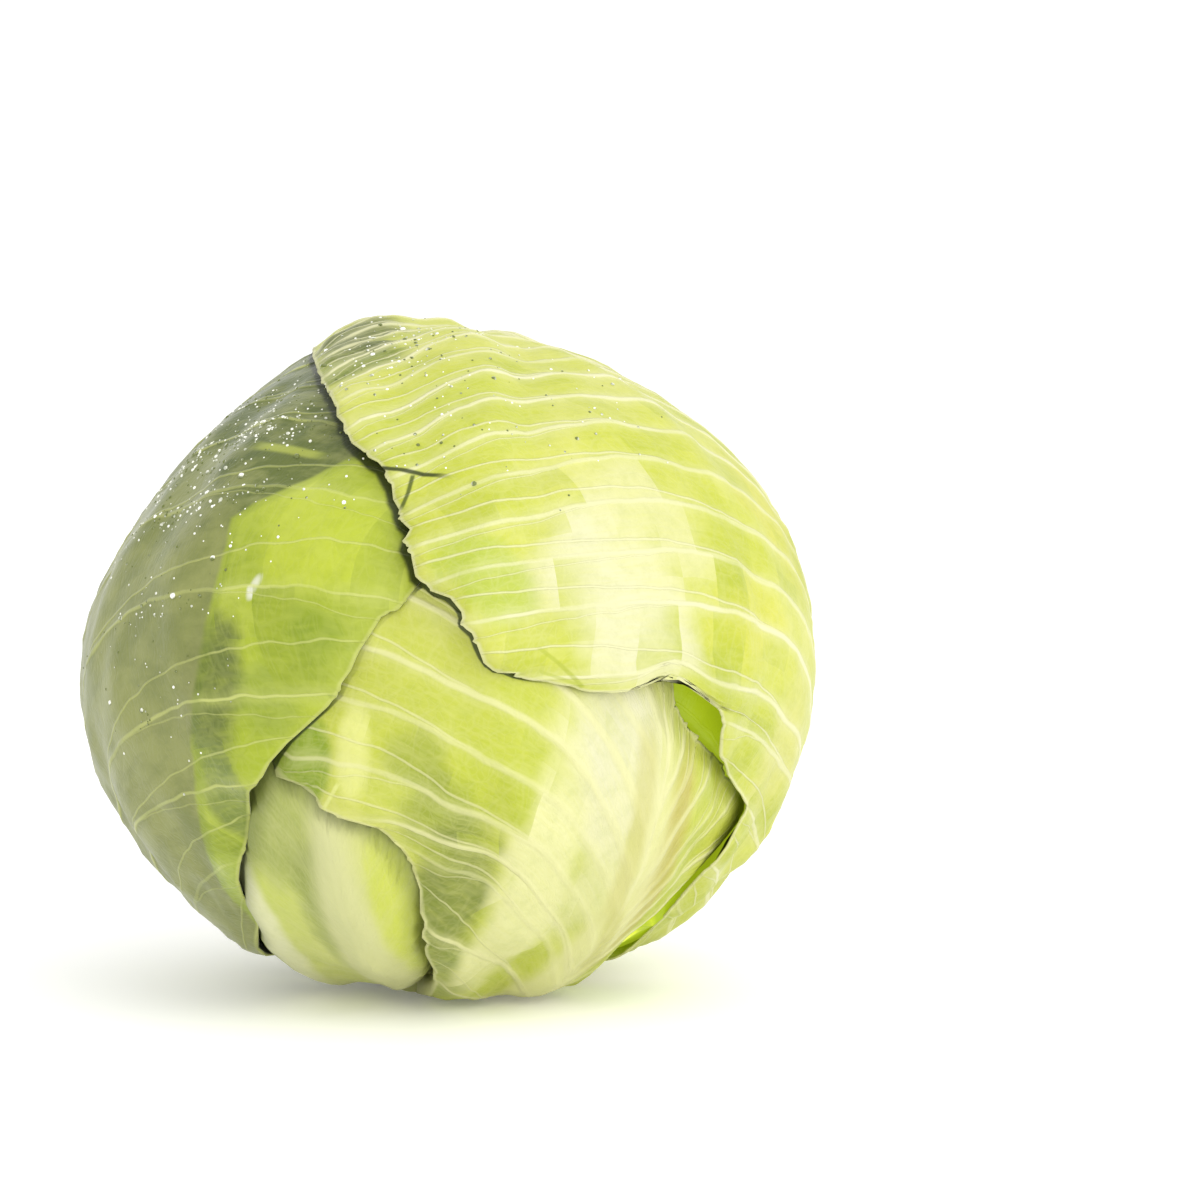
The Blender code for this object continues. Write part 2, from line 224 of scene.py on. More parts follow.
# From the innermost leaf to the outermost. fine is about how many points its mesh has across. A
# leaf sags at its base by droop, and rises by opening where only rises_under covers it
LEAVES = [
    dict(name="leaf_1_under_right", azimuth=78, elevation=4, left=NARROW_SIDE, right=WIDE_SIDE,
         veins=11, fine=60, opening=4.2 * MM, rises_under="leaf_8_right", rises_from=-20),
    dict(name="leaf_2_under_left", azimuth=-66, elevation=4, left=WIDE_SIDE, right=NARROW_SIDE,
         veins=11, fine=50),
    dict(name="leaf_3_front_inner", azimuth=-20, elevation=3, left=NARROW_SIDE, right=NARROW_SIDE,
         tear=INNER_LEAF_TEAR, veins=12, fine=90, ridged=0.15, droop=4.0 * MM, opening=2.2 * MM,
         rises_under="leaf_7_left", rises_from=-0.6),
    dict(name="leaf_4_back_inner", azimuth=-158, elevation=6, left=WIDE_SIDE, right=WIDE_SIDE,
         veins=11, fine=80),
    dict(name="leaf_5_front", azimuth=36, elevation=5, left=FRONT_LEAF_LEFT, right=FRONT_LEAF_RIGHT,
         tear=FRONT_LEAF_TEAR, veins=16, fine=110, ridged=0.8, droop=5.0 * MM),
    dict(name="leaf_6_back", azimuth=152, elevation=5, left=WIDE_SIDE, right=NARROW_SIDE,
         veins=12, fine=100),
    dict(name="leaf_7_left", azimuth=-100, elevation=5, left=LEFT_LEAF_BACK, right=LEFT_LEAF_FRONT,
         tear=LEFT_LEAF_CUT, closer=CUT_ROWS, veins=11, fine=110),
    dict(name="leaf_8_right", azimuth=100, elevation=8, left=RIGHT_LEAF_FRONT, right=RIGHT_LEAF_BACK,
         bite=RIGHT_LEAF_BITE, tear=RIGHT_LEAF_SHOWN, torn_side=-1, closer=SLOT_ROWS + CUT_ROWS,
         veins=21, fine=124),
]

# Where a free margin stands off the leaves inside it: leaf, sideways, up, reach in degrees, height
LIFTS = [
    ("leaf_8_right", -60, -9, 11, 4.5 * MM),
    ("leaf_8_right", -66, 84, 22, 1.8 * MM),
    ("leaf_8_right", -92, 40, 14, 0.8 * MM),
    ("leaf_5_front", -55, -24, 9, 1.6 * MM),
    ("leaf_6_back", -66, 0, 24, 1.6 * MM),
]
LIFT_DEPTH = 10.0
MARGIN_WAVE = 0.7 * MM

# Where a blade is drawn aside in its own plane: leaf, sideways, up, reach, and how far both ways
PULLS = [
    ("leaf_8_right", -65.5, -6.5, 5.0, -0.5, 4.6),
    ("leaf_8_right", -96.5, 23, 6.0, 3.2, 0.0),
    ("leaf_8_right", -92, 6, 3.8, -3.2, -0.6),
    ("leaf_8_right", -37, -35.5, 5.0, -2.0, 0.7),
    ("leaf_8_right", -37.5, -30, 3.0, 1.4, -0.3),
    ("leaf_5_front", -61, -19, 3.0, -2.4, -1.6),
    ("leaf_5_front", -55, -27, 2.4, -1.0, -1.6),
    ("leaf_5_front", -44, -31, 4.0, -0.8, 1.4),
    ("leaf_5_front", -33, -54, 7.0, -2.6, 0.0),
    ("leaf_5_front", 22, -36, 9.0, 2.8, -1.6),
    ("leaf_5_front", 30, -32, 6.0, 2.4, -0.4),
    ("leaf_5_front", 14, -66, 10.0, 5.0, -1.0),
]

# Folds and hollows of the dressed blades: leaf, sideways, up, reach both ways, height
FOLDS = [
    ("leaf_3_front_inner", -20, -54, 5, 24, 2.0 * MM),
    ("leaf_3_front_inner", -5, -46, 5, 26, -0.9 * MM),
    ("leaf_3_front_inner", 7, -42, 5, 22, 1.0 * MM),
    ("leaf_5_front", -52, -17, 2.2, 9, 1.0 * MM),
    ("leaf_5_front", -57, -19, 3.0, 7, -0.5 * MM),
    ("leaf_5_front", -40, -36, 5, 14, -0.8 * MM),
    ("leaf_5_front", -22, -40, 7, 26, 0.8 * MM),
    ("leaf_5_front", 9, -68, 13, 10, 3.2 * MM),
    ("leaf_8_right", -70, 30, 9, 14, 0.8 * MM),
    ("leaf_8_right", -84, 30, 5, 16, -0.5 * MM),
    ("leaf_7_left", 73, 24, 8, 10, 0.7 * MM),
    ("leaf_7_left", 62, -4, 6, 16, -0.5 * MM),
]


def direction_of(azimuth, elevation):
    """The direction at an azimuth from the front towards the right, and an elevation."""
    a, e = math.radians(azimuth), math.radians(elevation)
    return np.array([math.sin(a) * math.cos(e), -math.cos(a) * math.cos(e), math.sin(e)])


def leaf_axes(leaf):
    """The direction of the leaf's centre, its sideways direction and its upward direction."""
    a = math.radians(leaf["azimuth"])
    middle = direction_of(leaf["azimuth"], leaf["elevation"])
    sideways = np.array([math.cos(a), math.sin(a), 0.0])
    return middle, sideways, np.cross(middle, sideways)


def wrap(flat, leaf):
    """Directions on the head of points drawn flat."""
    middle, sideways, upward = leaf_axes(leaf)
    reach = np.maximum(np.hypot(flat[:, 0], flat[:, 1]), 1e-9)[:, None]
    along = (flat[:, :1] * sideways + flat[:, 1:] * upward) / reach
    return np.cos(np.radians(reach)) * middle + np.sin(np.radians(reach)) * along


def unwrap(directions, leaf):
    """Points of the flat drawing, for directions on the head."""
    middle, sideways, upward = leaf_axes(leaf)
    reach = np.degrees(np.arccos(np.clip(directions @ middle, -1, 1)))
    across, up = directions @ sideways, directions @ upward
    length = np.maximum(np.hypot(across, up), 1e-9)
    return np.column_stack([reach * across / length, reach * up / length])


def curve_through(points, shares):
    """Points at shares of the length of a smooth curve through the points given."""
    points = np.array(points, float)
    ends = np.vstack([2 * points[0] - points[1], points, 2 * points[-1] - points[-2]])
    pieces = []
    for before, start, end, after in zip(ends, ends[1:], ends[2:], ends[3:]):
        t = np.linspace(0, 1, 12, endpoint=False)[:, None]
        pieces.append(
            start + 0.5 * t * (end - before)
            + t**2 * (before - 2.5 * start + 2 * end - 0.5 * after)
            + t**3 * (1.5 * start - 0.5 * before - 1.5 * end + 0.5 * after)
        )
    curve = np.vstack(pieces + [points[-1:]])
    length = np.concatenate([[0], np.cumsum(np.hypot(*np.diff(curve, axis=0).T))])
    at = shares * length[-1]
    return np.column_stack([np.interp(at, length, curve[:, 0]), np.interp(at, length, curve[:, 1])])


def full_margin(leaf, side, shares):
    """A margin with its slow waves, from the corner of the base to the tip. side is -1 or 1."""
    edge = curve_through(leaf["left"] if side < 0 else leaf["right"], shares)
    phase = math.radians(leaf["azimuth"]) * 7 + side
    wave = np.sin(shares * 31 + phase) + 0.6 * np.sin(shares * 53 - phase)
    edge[:, 0] += OUTLINE_WAVE * wave * np.sin(np.pi * shares)
    return edge * np.array([side, 1.0])


def rib_ends(leaf):
    """How far down and how far up the midrib reaches."""
    start = BASE_REACH - 90 - leaf["elevation"]
    return start, start + RIB_END * (leaf["left"][-1][1] - start)


def width_left(leaf, side, along, torn):
    """The share of its width that one half of the blade has where a piece of it is missing."""
    share = np.ones(len(along))
    if side < 0 and "bite" in leaf:
        share = np.interp(along, *zip(*leaf["bite"]))
    if torn and "tear" in leaf and side == leaf.get("torn_side", 1):
        share = np.interp(along, *zip(*leaf["tear"]))
    return share


def blade_points(leaf, across, along, torn=False):
    """Flat points of the blade. across runs from -1 to 1, and along from 0 at the base to 1. A row
    with one value of along leaves the midrib and arches out to the margin, as a side vein does."""
    low, high = rib_ends(leaf)
    flat = np.empty((len(across), 2))
    for side in (-1, 1):
        chosen = across <= 0 if side < 0 else across > 0
        s = along[chosen]
        t = np.abs(across[chosen]) * width_left(leaf, side, s, torn)
        start = np.column_stack([np.zeros(len(s)), low + (high - low) * s**1.25])
        end = full_margin(leaf, side, s**0.75)
        rise = np.interp(s, [0, 0.2], [0.1, 0.85])
        bend_up = start[:, 1] + rise * (end[:, 1] - start[:, 1])
        bend = np.column_stack([0.3 * end[:, 0], bend_up])
        t = t[:, None]
        flat[chosen] = (1 - t) ** 2 * start + 2 * t * (1 - t) * bend + t**2 * end
    return flat


def outline_of(leaf):
    """The blade's edge as a closed line of even steps: up its right margin, down its left and along
    its base."""
    along = np.linspace(0, 1, 400)
    right = blade_points(leaf, np.ones(400), along)
    left = blade_points(leaf, -np.ones(400), along)
    base = blade_points(leaf, np.linspace(-1, 1, 60), np.zeros(60))
    line = []
    for part in (right, left[::-1], base):
        length = np.concatenate([[0], np.cumsum(np.hypot(*np.diff(part, axis=0).T))])
        at = np.linspace(0, length[-1], round(length[-1] / EDGE_STEP) + 1)[:-1]
        line += list(np.column_stack([np.interp(at, length, part[:, i]) for i in (0, 1)]))
    return np.array(line)


def depth_inside(flat, line):
    """How far points lie inside a closed line in degrees. It is below 0 outside the line."""
    nearest = np.full(len(flat), 1e9)
    inside = np.zeros(len(flat), bool)
    for start, end in zip(line, np.roll(line, -1, axis=0)):
        run = end - start
        share = np.clip(((flat - start) @ run) / max(run @ run, 1e-12), 0, 1)
        nearest = np.minimum(nearest, np.hypot(*(flat - start - share[:, None] * run).T))
        if start[1] != end[1]:
            spans = (start[1] > flat[:, 1]) != (end[1] > flat[:, 1])
            inside ^= spans & (flat[:, 0] < start[0] + (flat[:, 1] - start[1]) * run[0] / run[1])
    return np.where(inside, nearest, -nearest)


def smooth(value, low, high):
    """0 up to low, 1 from high on, and smooth between."""
    share = np.clip((value - low) / (high - low), 0, 1)
    return share * share * (3 - 2 * share)


def cover(depth):
    """1 on a leaf and just past its margin, fading to 0 further out."""
    return smooth(depth, -COVER_FADE, -COVER_EDGE)


def rib_share(flat, leaf, spread=1.0):
    """How far the midrib stands out, from 1 at its middle at the base to 0 off it."""
    low, high = rib_ends(leaf)
    along = np.clip((flat[:, 1] - low) / (high - low), 0, 1)
    width = spread * RIB_HALF_WIDTH * (1.35 - along)
    return (1 - along) ** 1.4 * np.exp(-((flat[:, 0] / width) ** 2))


def head_radius(directions):
    """The whole head's radius: round, with a flat base."""
    x, y, z = directions.T
    half_height = np.where(z > 0, HEIGHT_ABOVE, HEIGHT_BELOW)
    size = np.sqrt((x / (WIDTH / 2)) ** 2 + (y / (DEPTH / 2)) ** 2 + (z / half_height) ** 2)
    flat = np.maximum(-z, 0) / (CENTRE[2] - FLAT_BASE)
    radius = (size**FLAT_CORNER + flat**FLAT_CORNER) ** (-1 / FLAT_CORNER)
    for azimuth, elevation, reach, height in SWELLINGS:
        away = np.degrees(np.arccos(np.clip(directions @ direction_of(azimuth, elevation), -1, 1)))
        radius = radius + height * np.exp(-((away / reach) ** 2))
    return radius


def inner_radius(directions):
    """The inner head's radius: the whole head's less the leaves there, whose ends are smoothed."""
    radius = head_radius(directions)
    for leaf in LEAVES:
        depth = depth_inside(unwrap(directions, leaf), leaf["line"])
        radius = radius - smooth(depth, SINK_FROM, SINK_TO) * (BLADE + VEIN_HEIGHT + GAP)
    return radius


def leaf_radius(directions, index):
    """Where leaf number index lies: on the inner head and on the leaves inside it."""
    radius = inner_radius(directions) + GAP
    for inside in LEAVES[:index]:
        flat = unwrap(directions, inside)
        depth = depth_inside(flat, inside["line"])
        thick = BLADE - 0.3 * MM * (1 - smooth(depth, 0, 5))
        thick = thick + RIB_HEIGHT * rib_share(flat, inside, RIB_ROOM)
        radius = radius + cover(depth) * (thick + VEIN_HEIGHT + GAP)
    return radius


def leaf_lift(flat, directions, depth, index):
    """How far the leaf's free margin stands off the leaves inside it."""
    leaf = LEAVES[index]
    raised = MARGIN_WAVE * (1 + np.sin(0.22 * flat[:, 1] + 0.09 * flat[:, 0] + index))
    for name, sideways, up, reach, height in LIFTS:
        if name == leaf["name"]:
            away = np.hypot(flat[:, 0] - sideways, flat[:, 1] - up)
            raised = raised + height * np.exp(-((away / reach) ** 2))
    raised = raised * (1 - smooth(depth, 0, LIFT_DEPTH)) * smooth(flat[:, 1], -80, -60)
    for outside in LEAVES[index + 1:]:
        raised = raised * (1 - cover(depth_inside(unwrap(directions, outside), outside["line"])))
    return raised


def ripple(points, scale, seed):
    """Smooth waves between about -1 and 1 over points, with no grain direction."""
    draw = np.random.default_rng(seed)
    total = np.zeros(len(points))
    for _ in range(9):
        run = draw.normal(size=points.shape[1])
        run *= draw.uniform(0.6, 1.5) / np.linalg.norm(run) / scale
        total += np.sin(2 * np.pi * (points @ run) + draw.uniform(0, 2 * np.pi))
    return total / 3.0


def vein_places(leaf, side):
    """Where along the leaf the side veins of one half leave the midrib."""
    count = leaf["veins"]
    draw = np.random.default_rng(leaf["azimuth"] % 97 + 3 * side + 7)
    places = (np.arange(count) + 0.55 + draw.uniform(-0.2, 0.2, count)) / count
    return np.clip(places, 0.02, 0.975)


def rows_of(leaf):
    """Values of along for the rows of the fine mesh: closer together beside each side vein."""
    rows = list(np.linspace(0, 1, leaf["fine"] // 2))
    for side in (-1, 1):
        for place in vein_places(leaf, side):
            rows += [place + step for step in BESIDE_VEIN]
    for start, stop, count in leaf.get("closer", ()):
        rows += list(np.linspace(start, stop, count))
    rows = np.unique(np.clip(rows, 0, 1))
    kept = [rows[0]]
    for row in rows[1:]:
        if row - kept[-1] > LEAST_ROW:
            kept.append(row)
    kept[-1] = 1.0
    return np.array(kept)


def vein_index(leaf, across, along):
    """A number that is whole on each side vein, and runs evenly between one and the next."""
    value = np.empty(len(along))
    for side in (-1, 1):
        chosen = across <= 0 if side < 0 else across > 0
        places = vein_places(leaf, side)
        knots = np.concatenate([[2 * places[0] - places[1]], places, [2 * places[-1] - places[-2]]])
        whole = np.arange(len(knots)) + (40 if side > 0 else 0)
        value[chosen] = np.interp(along[chosen], knots, whole)
    return value


def lay_out(index):
    """The fine grid of a leaf's points, flat: shares across and along, the points with their small
    waves, the grid's shape, and the closed line of its uneven margin."""
    leaf = LEAVES[index]
    rows = rows_of(leaf)
    spread = np.linspace(-1, 1, 2 * (leaf["fine"] // 2) + 1)
    spread = np.sign(spread) * np.abs(spread) ** 1.15
    across, along = (grid.ravel() for grid in np.meshgrid(spread, rows))
    shape = (len(rows), len(spread))
    flat = blade_points(leaf, across, along, torn=True)
    inward = (1 - np.abs(across) ** 3) * smooth(np.abs(across), 0, 0.25) * smooth(along, 0, 0.1)
    sway = [ripple(flat, SWAY_LENGTH, index + 5), ripple(flat, SWAY_LENGTH, index + 55)]
    flat += SWAY * np.column_stack(sway) * inward[:, None]
    beside = np.column_stack([along * 260, np.sign(across) * 40])
    jag = ripple(beside, 5.2, index + 9) + 0.6 * ripple(beside, 1.9, index + 19)
    towards = -np.sign(across) * JAG * jag * np.abs(across) ** 6 * smooth(along, 0, 0.05)
    flat[:, 0] += towards * (1 - smooth(along, 0.95, 1))

    for name, sideways, up, reach, right, rise in PULLS:
        if name == leaf["name"]:
            away = np.hypot(flat[:, 0] - sideways, flat[:, 1] - up)
            flat += np.exp(-((away / reach) ** 2))[:, None] * np.array([right, rise])
    grid = flat.reshape(*shape, 2)
    margin = np.vstack([grid[:, -1], grid[::-1, 0], grid[0, 1:-1]])
    return dict(across=across, along=along, flat=flat, shape=shape, margin=margin)


def smooth_mesh(name, points, faces):
    mesh = bpy.data.meshes.new(name)
    mesh.from_pydata(np.array(points, float).tolist(), [], faces)
    mesh.shade_smooth()
    return mesh


def new_object(name, data, material=None):
    """An object in the scene, with a material if it has one."""
    made = bpy.data.objects.new(name, data)
    bpy.context.scene.collection.objects.link(made)
    if material:
        data.materials.append(material)
    return made


def blade_mesh(name, outer, inner):
    """A closed blade from its outer and inner grids of points, with the numbers of the points used.
    The last row's two halves are one line, so they are joined to each other."""
    rows, columns = outer.shape[:2]
    index = np.arange(rows * columns).reshape(rows, columns)
    half = columns // 2
    index[-1, half + 1:] = index[-1, :half][::-1]
    back = index + rows * columns
    faces = []
    for grid, flip in ((index, False), (back, True)):
        quads = np.stack([grid[:-1, :-1], grid[:-1, 1:], grid[1:, 1:], grid[1:, :-1]], axis=-1)
        quads = quads.reshape(-1, 4)
        faces.append(quads[:, ::-1] if flip else quads)
    edges = [
        (index[0, ::-1], back[0, ::-1]),
        (index[:, -1][::-1], back[:, -1][::-1]),
        (index[:, 0], back[:, 0]),
    ]
    for front, rear in edges:
        faces.append(np.stack([front[:-1], front[1:], rear[1:], rear[:-1]], axis=-1))
    points = np.vstack([outer.reshape(-1, 3), inner.reshape(-1, 3)])
    used, compact = np.unique(np.vstack(faces), return_inverse=True)
    return smooth_mesh(name, points[used], compact.reshape(-1, 4).tolist()), used


def measure_veins(grid, number, places):
    """Metres at each point of a leaf: from one side vein to the next, to the nearest of them, and
    out from the midrib."""
    shape = grid["shape"]
    count = np.abs(np.gradient(number.reshape(shape), axis=0)).ravel()
    slant = np.gradient(places, axis=1)
    slant /= np.maximum(np.linalg.norm(slant, axis=-1, keepdims=True), 1e-12)
    climb = np.gradient(places, axis=0)
    square = np.linalg.norm(np.cross(climb, slant), axis=-1).ravel()
    span = np.clip(square / np.maximum(count, 1e-9), *SPAN_LIMITS)
    beside = np.abs(number - np.round(number)) * span
    reach = np.zeros(shape)
    lengths = np.linalg.norm(np.diff(places, axis=1), axis=-1)
    middle = shape[1] // 2
    reach[:, middle + 1:] = np.cumsum(lengths[:, middle:], axis=1)
    reach[:, :middle] = np.cumsum(lengths[:, :middle][:, ::-1], axis=1)[:, ::-1]
    return span, beside, reach.ravel()


def depths_under(index, directions):
    """How far points of a leaf lie under the leaves outside it, in degrees: under any of them, under
    the one that it rises under, and under the others."""
    any_leaf = np.full(len(directions), FAR_OUTSIDE)
    rising = any_leaf.copy()
    others = any_leaf.copy()
    for outside in LEAVES[index + 1:]:
        over = depth_inside(unwrap(directions, outside), outside["grid"]["margin"])
        any_leaf = np.maximum(any_leaf, over)
        if outside["name"] == LEAVES[index].get("rises_under"):
            rising = over
        else:
            others = np.maximum(others, over)
    return any_leaf, rising, others


def vein_relief(index, number, depth, span, beside, reach):
    """Ridges over the side veins, and puckers of the blade between them, in millimetres."""
    leaf = LEAVES[index]
    outward = np.abs(leaf["grid"]["across"])
    width = (1.0 - 0.5 * outward) * MM
    ridge = np.exp(-((beside / width) ** 2)) * smooth(reach, 1.5 * MM, 5 * MM)
    ridge = ridge * (0.75 - 0.45 * outward) * smooth(depth, 0, 4) * smooth(span, 1 * MM, 5 * MM)
    between = np.clip(np.abs(number - np.round(number)) * 2, 0, 1)
    pucker = between ** 0.6 * smooth(span, 3 * MM, 9 * MM)
    uneven = 0.7 + 0.5 * ripple(leaf["grid"]["flat"], 9, index + 31)
    swell = PUCKER * pucker * smooth(depth, 0, 5) * uneven
    return VEIN_RIDGE * ridge * leaf.get("ridged", 1.0) + swell


def with_large_forms(leaf, flat, relief, any_leaf, rising, others):
    """The relief with the sag of the leaf's base, its rise under another leaf, and its folds."""
    sag = leaf.get("droop", 0) * smooth(-flat[:, 1], *SAG_FROM_TO)
    relief = relief + sag * smooth(-any_leaf, 0.5, 7)
    start = leaf.get("rises_from", -14.0)
    rise = smooth(-others, 0.1, 2.2) * smooth(-rising, start, 0.1 * start + 0.5)
    relief = relief + leaf.get("opening", 0) * rise
    for name, sideways, up, wide, high, height in FOLDS:
        if name == leaf["name"]:
            away = ((flat[:, 0] - sideways) / wide) ** 2 + ((flat[:, 1] - up) / high) ** 2
            relief = relief + height * np.exp(-away) * smooth(-any_leaf, 0, 2.5)
    return relief


def make_leaf(index, material):
    """A wrapper leaf with its midrib, side veins, puckers and uneven thin margin."""
    leaf = LEAVES[index]
    grid = leaf["grid"]
    flat = grid["flat"]
    shape = (*grid["shape"], 3)
    directions = wrap(flat, leaf)
    depth = np.maximum(depth_inside(flat, grid["margin"]), 0)
    base = leaf_radius(directions, index)
    raised = leaf_lift(flat, directions, depth, index)
    number = vein_index(leaf, grid["across"], grid["along"])
    places = (CENTRE + directions * base[:, None]).reshape(shape)
    span, beside, reach = measure_veins(grid, number, places)
    any_leaf, rising, others = depths_under(index, directions)

    # The inner face lies on the leaves inside, and the blade thins towards its margin
    rough = 0.10 * ripple(flat, 4.3, index + 71) + 0.30 * ripple(flat, 13, index + 83)
    rib = rib_share(flat, leaf)
    dip = (HUG + MARGIN_DIP * (1 - smooth(depth, 0, 6))) * (1 - np.clip(raised / FREE_LIFT, 0, 1))
    lie = base + raised - np.minimum(dip, DEEPEST_DIP)
    thick = MARGIN_BLADE + (BLADE - MARGIN_BLADE) * smooth(depth, 0, 3.5) + RIB_HEIGHT * rib
    thick = thick + HUG * smooth(depth, 0, 8)
    relief = vein_relief(index, number, depth, span, beside, reach)
    relief = (relief + rough * smooth(depth, 0, 3)) * MM
    relief = with_large_forms(leaf, flat, relief, any_leaf, rising, others)
    outer = CENTRE + directions * (lie + thick + relief)[:, None]
    inner = CENTRE + directions * (lie + 0.5 * rough * MM * smooth(depth, 0, 3))[:, None]
    outer[:, 2] = np.maximum(outer[:, 2], LOWEST)
    inner[:, 2] = np.maximum(inner[:, 2], LOWEST + 0.3 * MM)
    leaf["outer"] = outer.reshape(shape)

    mesh, used = blade_mesh(leaf["name"], leaf["outer"], inner.reshape(shape))
    values = {
        "vein": number, "span": span / MM, "across": np.abs(grid["across"]), "along": grid["along"],
        "gap": any_leaf, "reach": reach / MM, "rib": rib, "depth": depth, "side": flat[:, 0],
        "rise": flat[:, 1],
    }
    for name, value in values.items():
        layer = mesh.attributes.new(name, "FLOAT", "POINT")
        both_faces = np.concatenate([value, value])[used]
        layer.data.foreach_set("value", np.ascontiguousarray(both_faces, np.float32))
    piece = new_object(leaf["name"] + "_blade", mesh, material)
    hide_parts(leaf["name"])
    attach(piece, "root")


class Nodes:
    """Short ways to add and link the shader nodes of one material."""

    def __init__(self, name):
        self.material = bpy.data.materials.new(name)
        self.material.use_nodes = True
        self.tree = self.material.node_tree
        self.tree.nodes.clear()

    def add(self, kind, inputs=None, **settings):
        node = self.tree.nodes.new("ShaderNode" + kind)
        for name, value in settings.items():
            setattr(node, name, value)
        for name, value in (inputs or {}).items():
            self.put(value, node.inputs[name])
        return node

    def put(self, value, socket):
        if isinstance(value, bpy.types.NodeSocket):
            self.tree.links.new(value, socket)
        else:
            socket.default_value = value

    def math(self, operation, first, second=0.0, third=0.0, clamp=False):
        inputs = {0: first, 1: second, 2: third}
        return self.add("Math", inputs, operation=operation, use_clamp=clamp).outputs[0]

    def plus(self, first, second):
        return self.math("ADD", first, second)

    def minus(self, first, second):
        return self.math("SUBTRACT", first, second)

    def times(self, first, second):
        return self.math("MULTIPLY", first, second)

    def line(self, value, slope, start, clamp=False):
        return self.math("MULTIPLY_ADD", value, slope, start, clamp)

    def most(self, first, second):
        return self.math("MAXIMUM", first, second)

    def value(self, name):
        return self.add("Attribute", attribute_name=name).outputs["Fac"]

    def place(self):
        return self.add("TexCoord").outputs["Object"]

    def step(self, value, low, high, start=0.0, end=1.0):
        inputs = {"Value": value, "From Min": low, "From Max": high, "To Min": start, "To Max": end}
        node = self.add("MapRange", inputs, interpolation_type="SMOOTHSTEP")
        return node.outputs["Result"]

    def mix(self, share, first, second):
        node = self.add("Mix", data_type="RGBA")
        self.put(share, node.inputs["Factor"])
        self.put(first, node.inputs[6])
        self.put(second, node.inputs[7])
        return node.outputs[2]

    def vector(self, x, y):
        return self.add("CombineXYZ", {"X": x, "Y": y}).outputs[0]

    def noise(self, vector, scale, detail=2.0, roughness=0.5):
        inputs = {"Vector": vector, "Scale": scale, "Detail": detail, "Roughness": roughness}
        return self.add("TexNoise", inputs).outputs["Fac"]

    def cells(self, vector, scale):
        inputs = {"Vector": vector, "Scale": scale}
        node = self.add("TexVoronoi", inputs, feature="DISTANCE_TO_EDGE")
        return node.outputs["Distance"]

    def random(self, number):
        return self.add("TexWhiteNoise", {"W": number}, noise_dimensions="1D").outputs["Value"]

    def bump(self, height, strength, distance):
        inputs = {"Strength": strength, "Distance": distance, "Height": height}
        return self.add("Bump", inputs).outputs[0]

    def finish(self, inputs):
        """The material, once its surface has these inputs."""
        shader = self.add("BsdfPrincipled", inputs)
        self.put(shader.outputs[0], self.add("OutputMaterial").inputs["Surface"])
        return self.material


def rgb(red, green, blue):
    """The colour of a surface that screens show as this, from 0 to 255, in the studio's light."""
    shown = np.array([red, green, blue]) / 255
    linear = np.where(shown <= 0.04045, shown / 12.92, ((shown + 0.055) / 1.055) ** 2.4)
    return (*(linear * FROM_SHOWN).tolist(), 1.0)


def leaf_values(n):
    """What a leaf's mesh says of each point. number is its place between the side veins, whose whole
    numbers sway a little."""
    keys = ("vein", "span", "across", "along", "gap", "reach", "rib", "depth", "side", "rise")
    v = SimpleNamespace(**{key: n.value(key) for key in keys})
    v.place = n.place()
    along_vein = n.vector(n.times(v.vein, 0.7), n.times(v.reach, 0.05))
    bent = n.minus(n.noise(along_vein, 2.2, 1.0), 0.5)
    v.number = n.line(bent, VEIN_SWAY, v.vein)
    v.below = n.math("FLOOR", v.number)
    return v


def side_veins(n, v, strong, marks):
    """A pale line over each side vein, and a soft band on both sides of it."""
    aside = n.times(n.math("PINGPONG", v.number, 0.5), v.span)
    width = n.times(n.line(v.across, -0.55, 0.95), strong)
    vigour = n.random(n.plus(n.math("ROUND", v.number), 0.37))
    vigour = n.line(vigour, 0.65, 0.35 * marks)
    vigour = n.times(vigour, n.step(n.noise(v.place, VIGOUR_SCALE), 0.25, 0.55, 0.45, 1.0))
    vigour = n.times(vigour, marks)
    line = n.step(n.math("DIVIDE", aside, width), 0.35, 1.25, 1.0, 0.0)
    line = n.times(line, vigour)
    halo = n.times(n.step(aside, 0.6, 3.8, 1.0, 0.0), vigour)
    return line, halo


def forked_veins(n, v, marks):
    """The two finer veins that fork off each side vein towards the margin, one on each side."""
    above = n.math("FRACT", v.number)
    under = n.minus(1.0, above)
    forks = []
    for from_vein, seed, first, room, size, share in (
        (above, 3.1, 0.18, 0.34, 0.50, 0.56), (under, 8.7, 0.48, 0.28, 0.36, 0.30),
    ):
        start = n.line(n.random(n.plus(v.below, seed)), room, first)
        run = n.step(v.across, start, 1.12)
        away = n.math("ABSOLUTE", n.minus(from_vein, n.times(run, share)))
        away = n.times(away, v.span)
        thin = n.line(v.across, -0.16, size)
        mark = n.step(n.math("DIVIDE", away, thin), 0.4, 1.3, 1.0, 0.0)
        forks.append(n.times(mark, n.step(run, 0.0, 0.06)))
    both = n.most(forks[0], n.times(forks[1], 0.7))
    return n.times(both, marks)


def vein_net(n, v):
    """The net of fine veins between the side veins."""
    place = n.vector(n.times(v.number, 3.0), n.times(v.reach, 0.22))
    warp = n.add("TexNoise", {"Vector": place, "Scale": 1.3, "Detail": 1.0})
    bend = n.add("Mix", {"Factor": 0.22}, data_type="VECTOR")
    n.put(place, bend.inputs[4])
    n.put(warp.outputs["Color"], bend.inputs[5])
    coarse = n.step(n.cells(bend.outputs[1], 1.0), 0.015, 0.10, 1.0, 0.0)
    fine = n.step(n.cells(bend.outputs[1], 2.7), 0.02, 0.14, 1.0, 0.0)
    net = n.most(n.times(coarse, 0.7), n.times(fine, 0.5))
    return n.times(net, n.step(v.span, 1.5, 6.0))


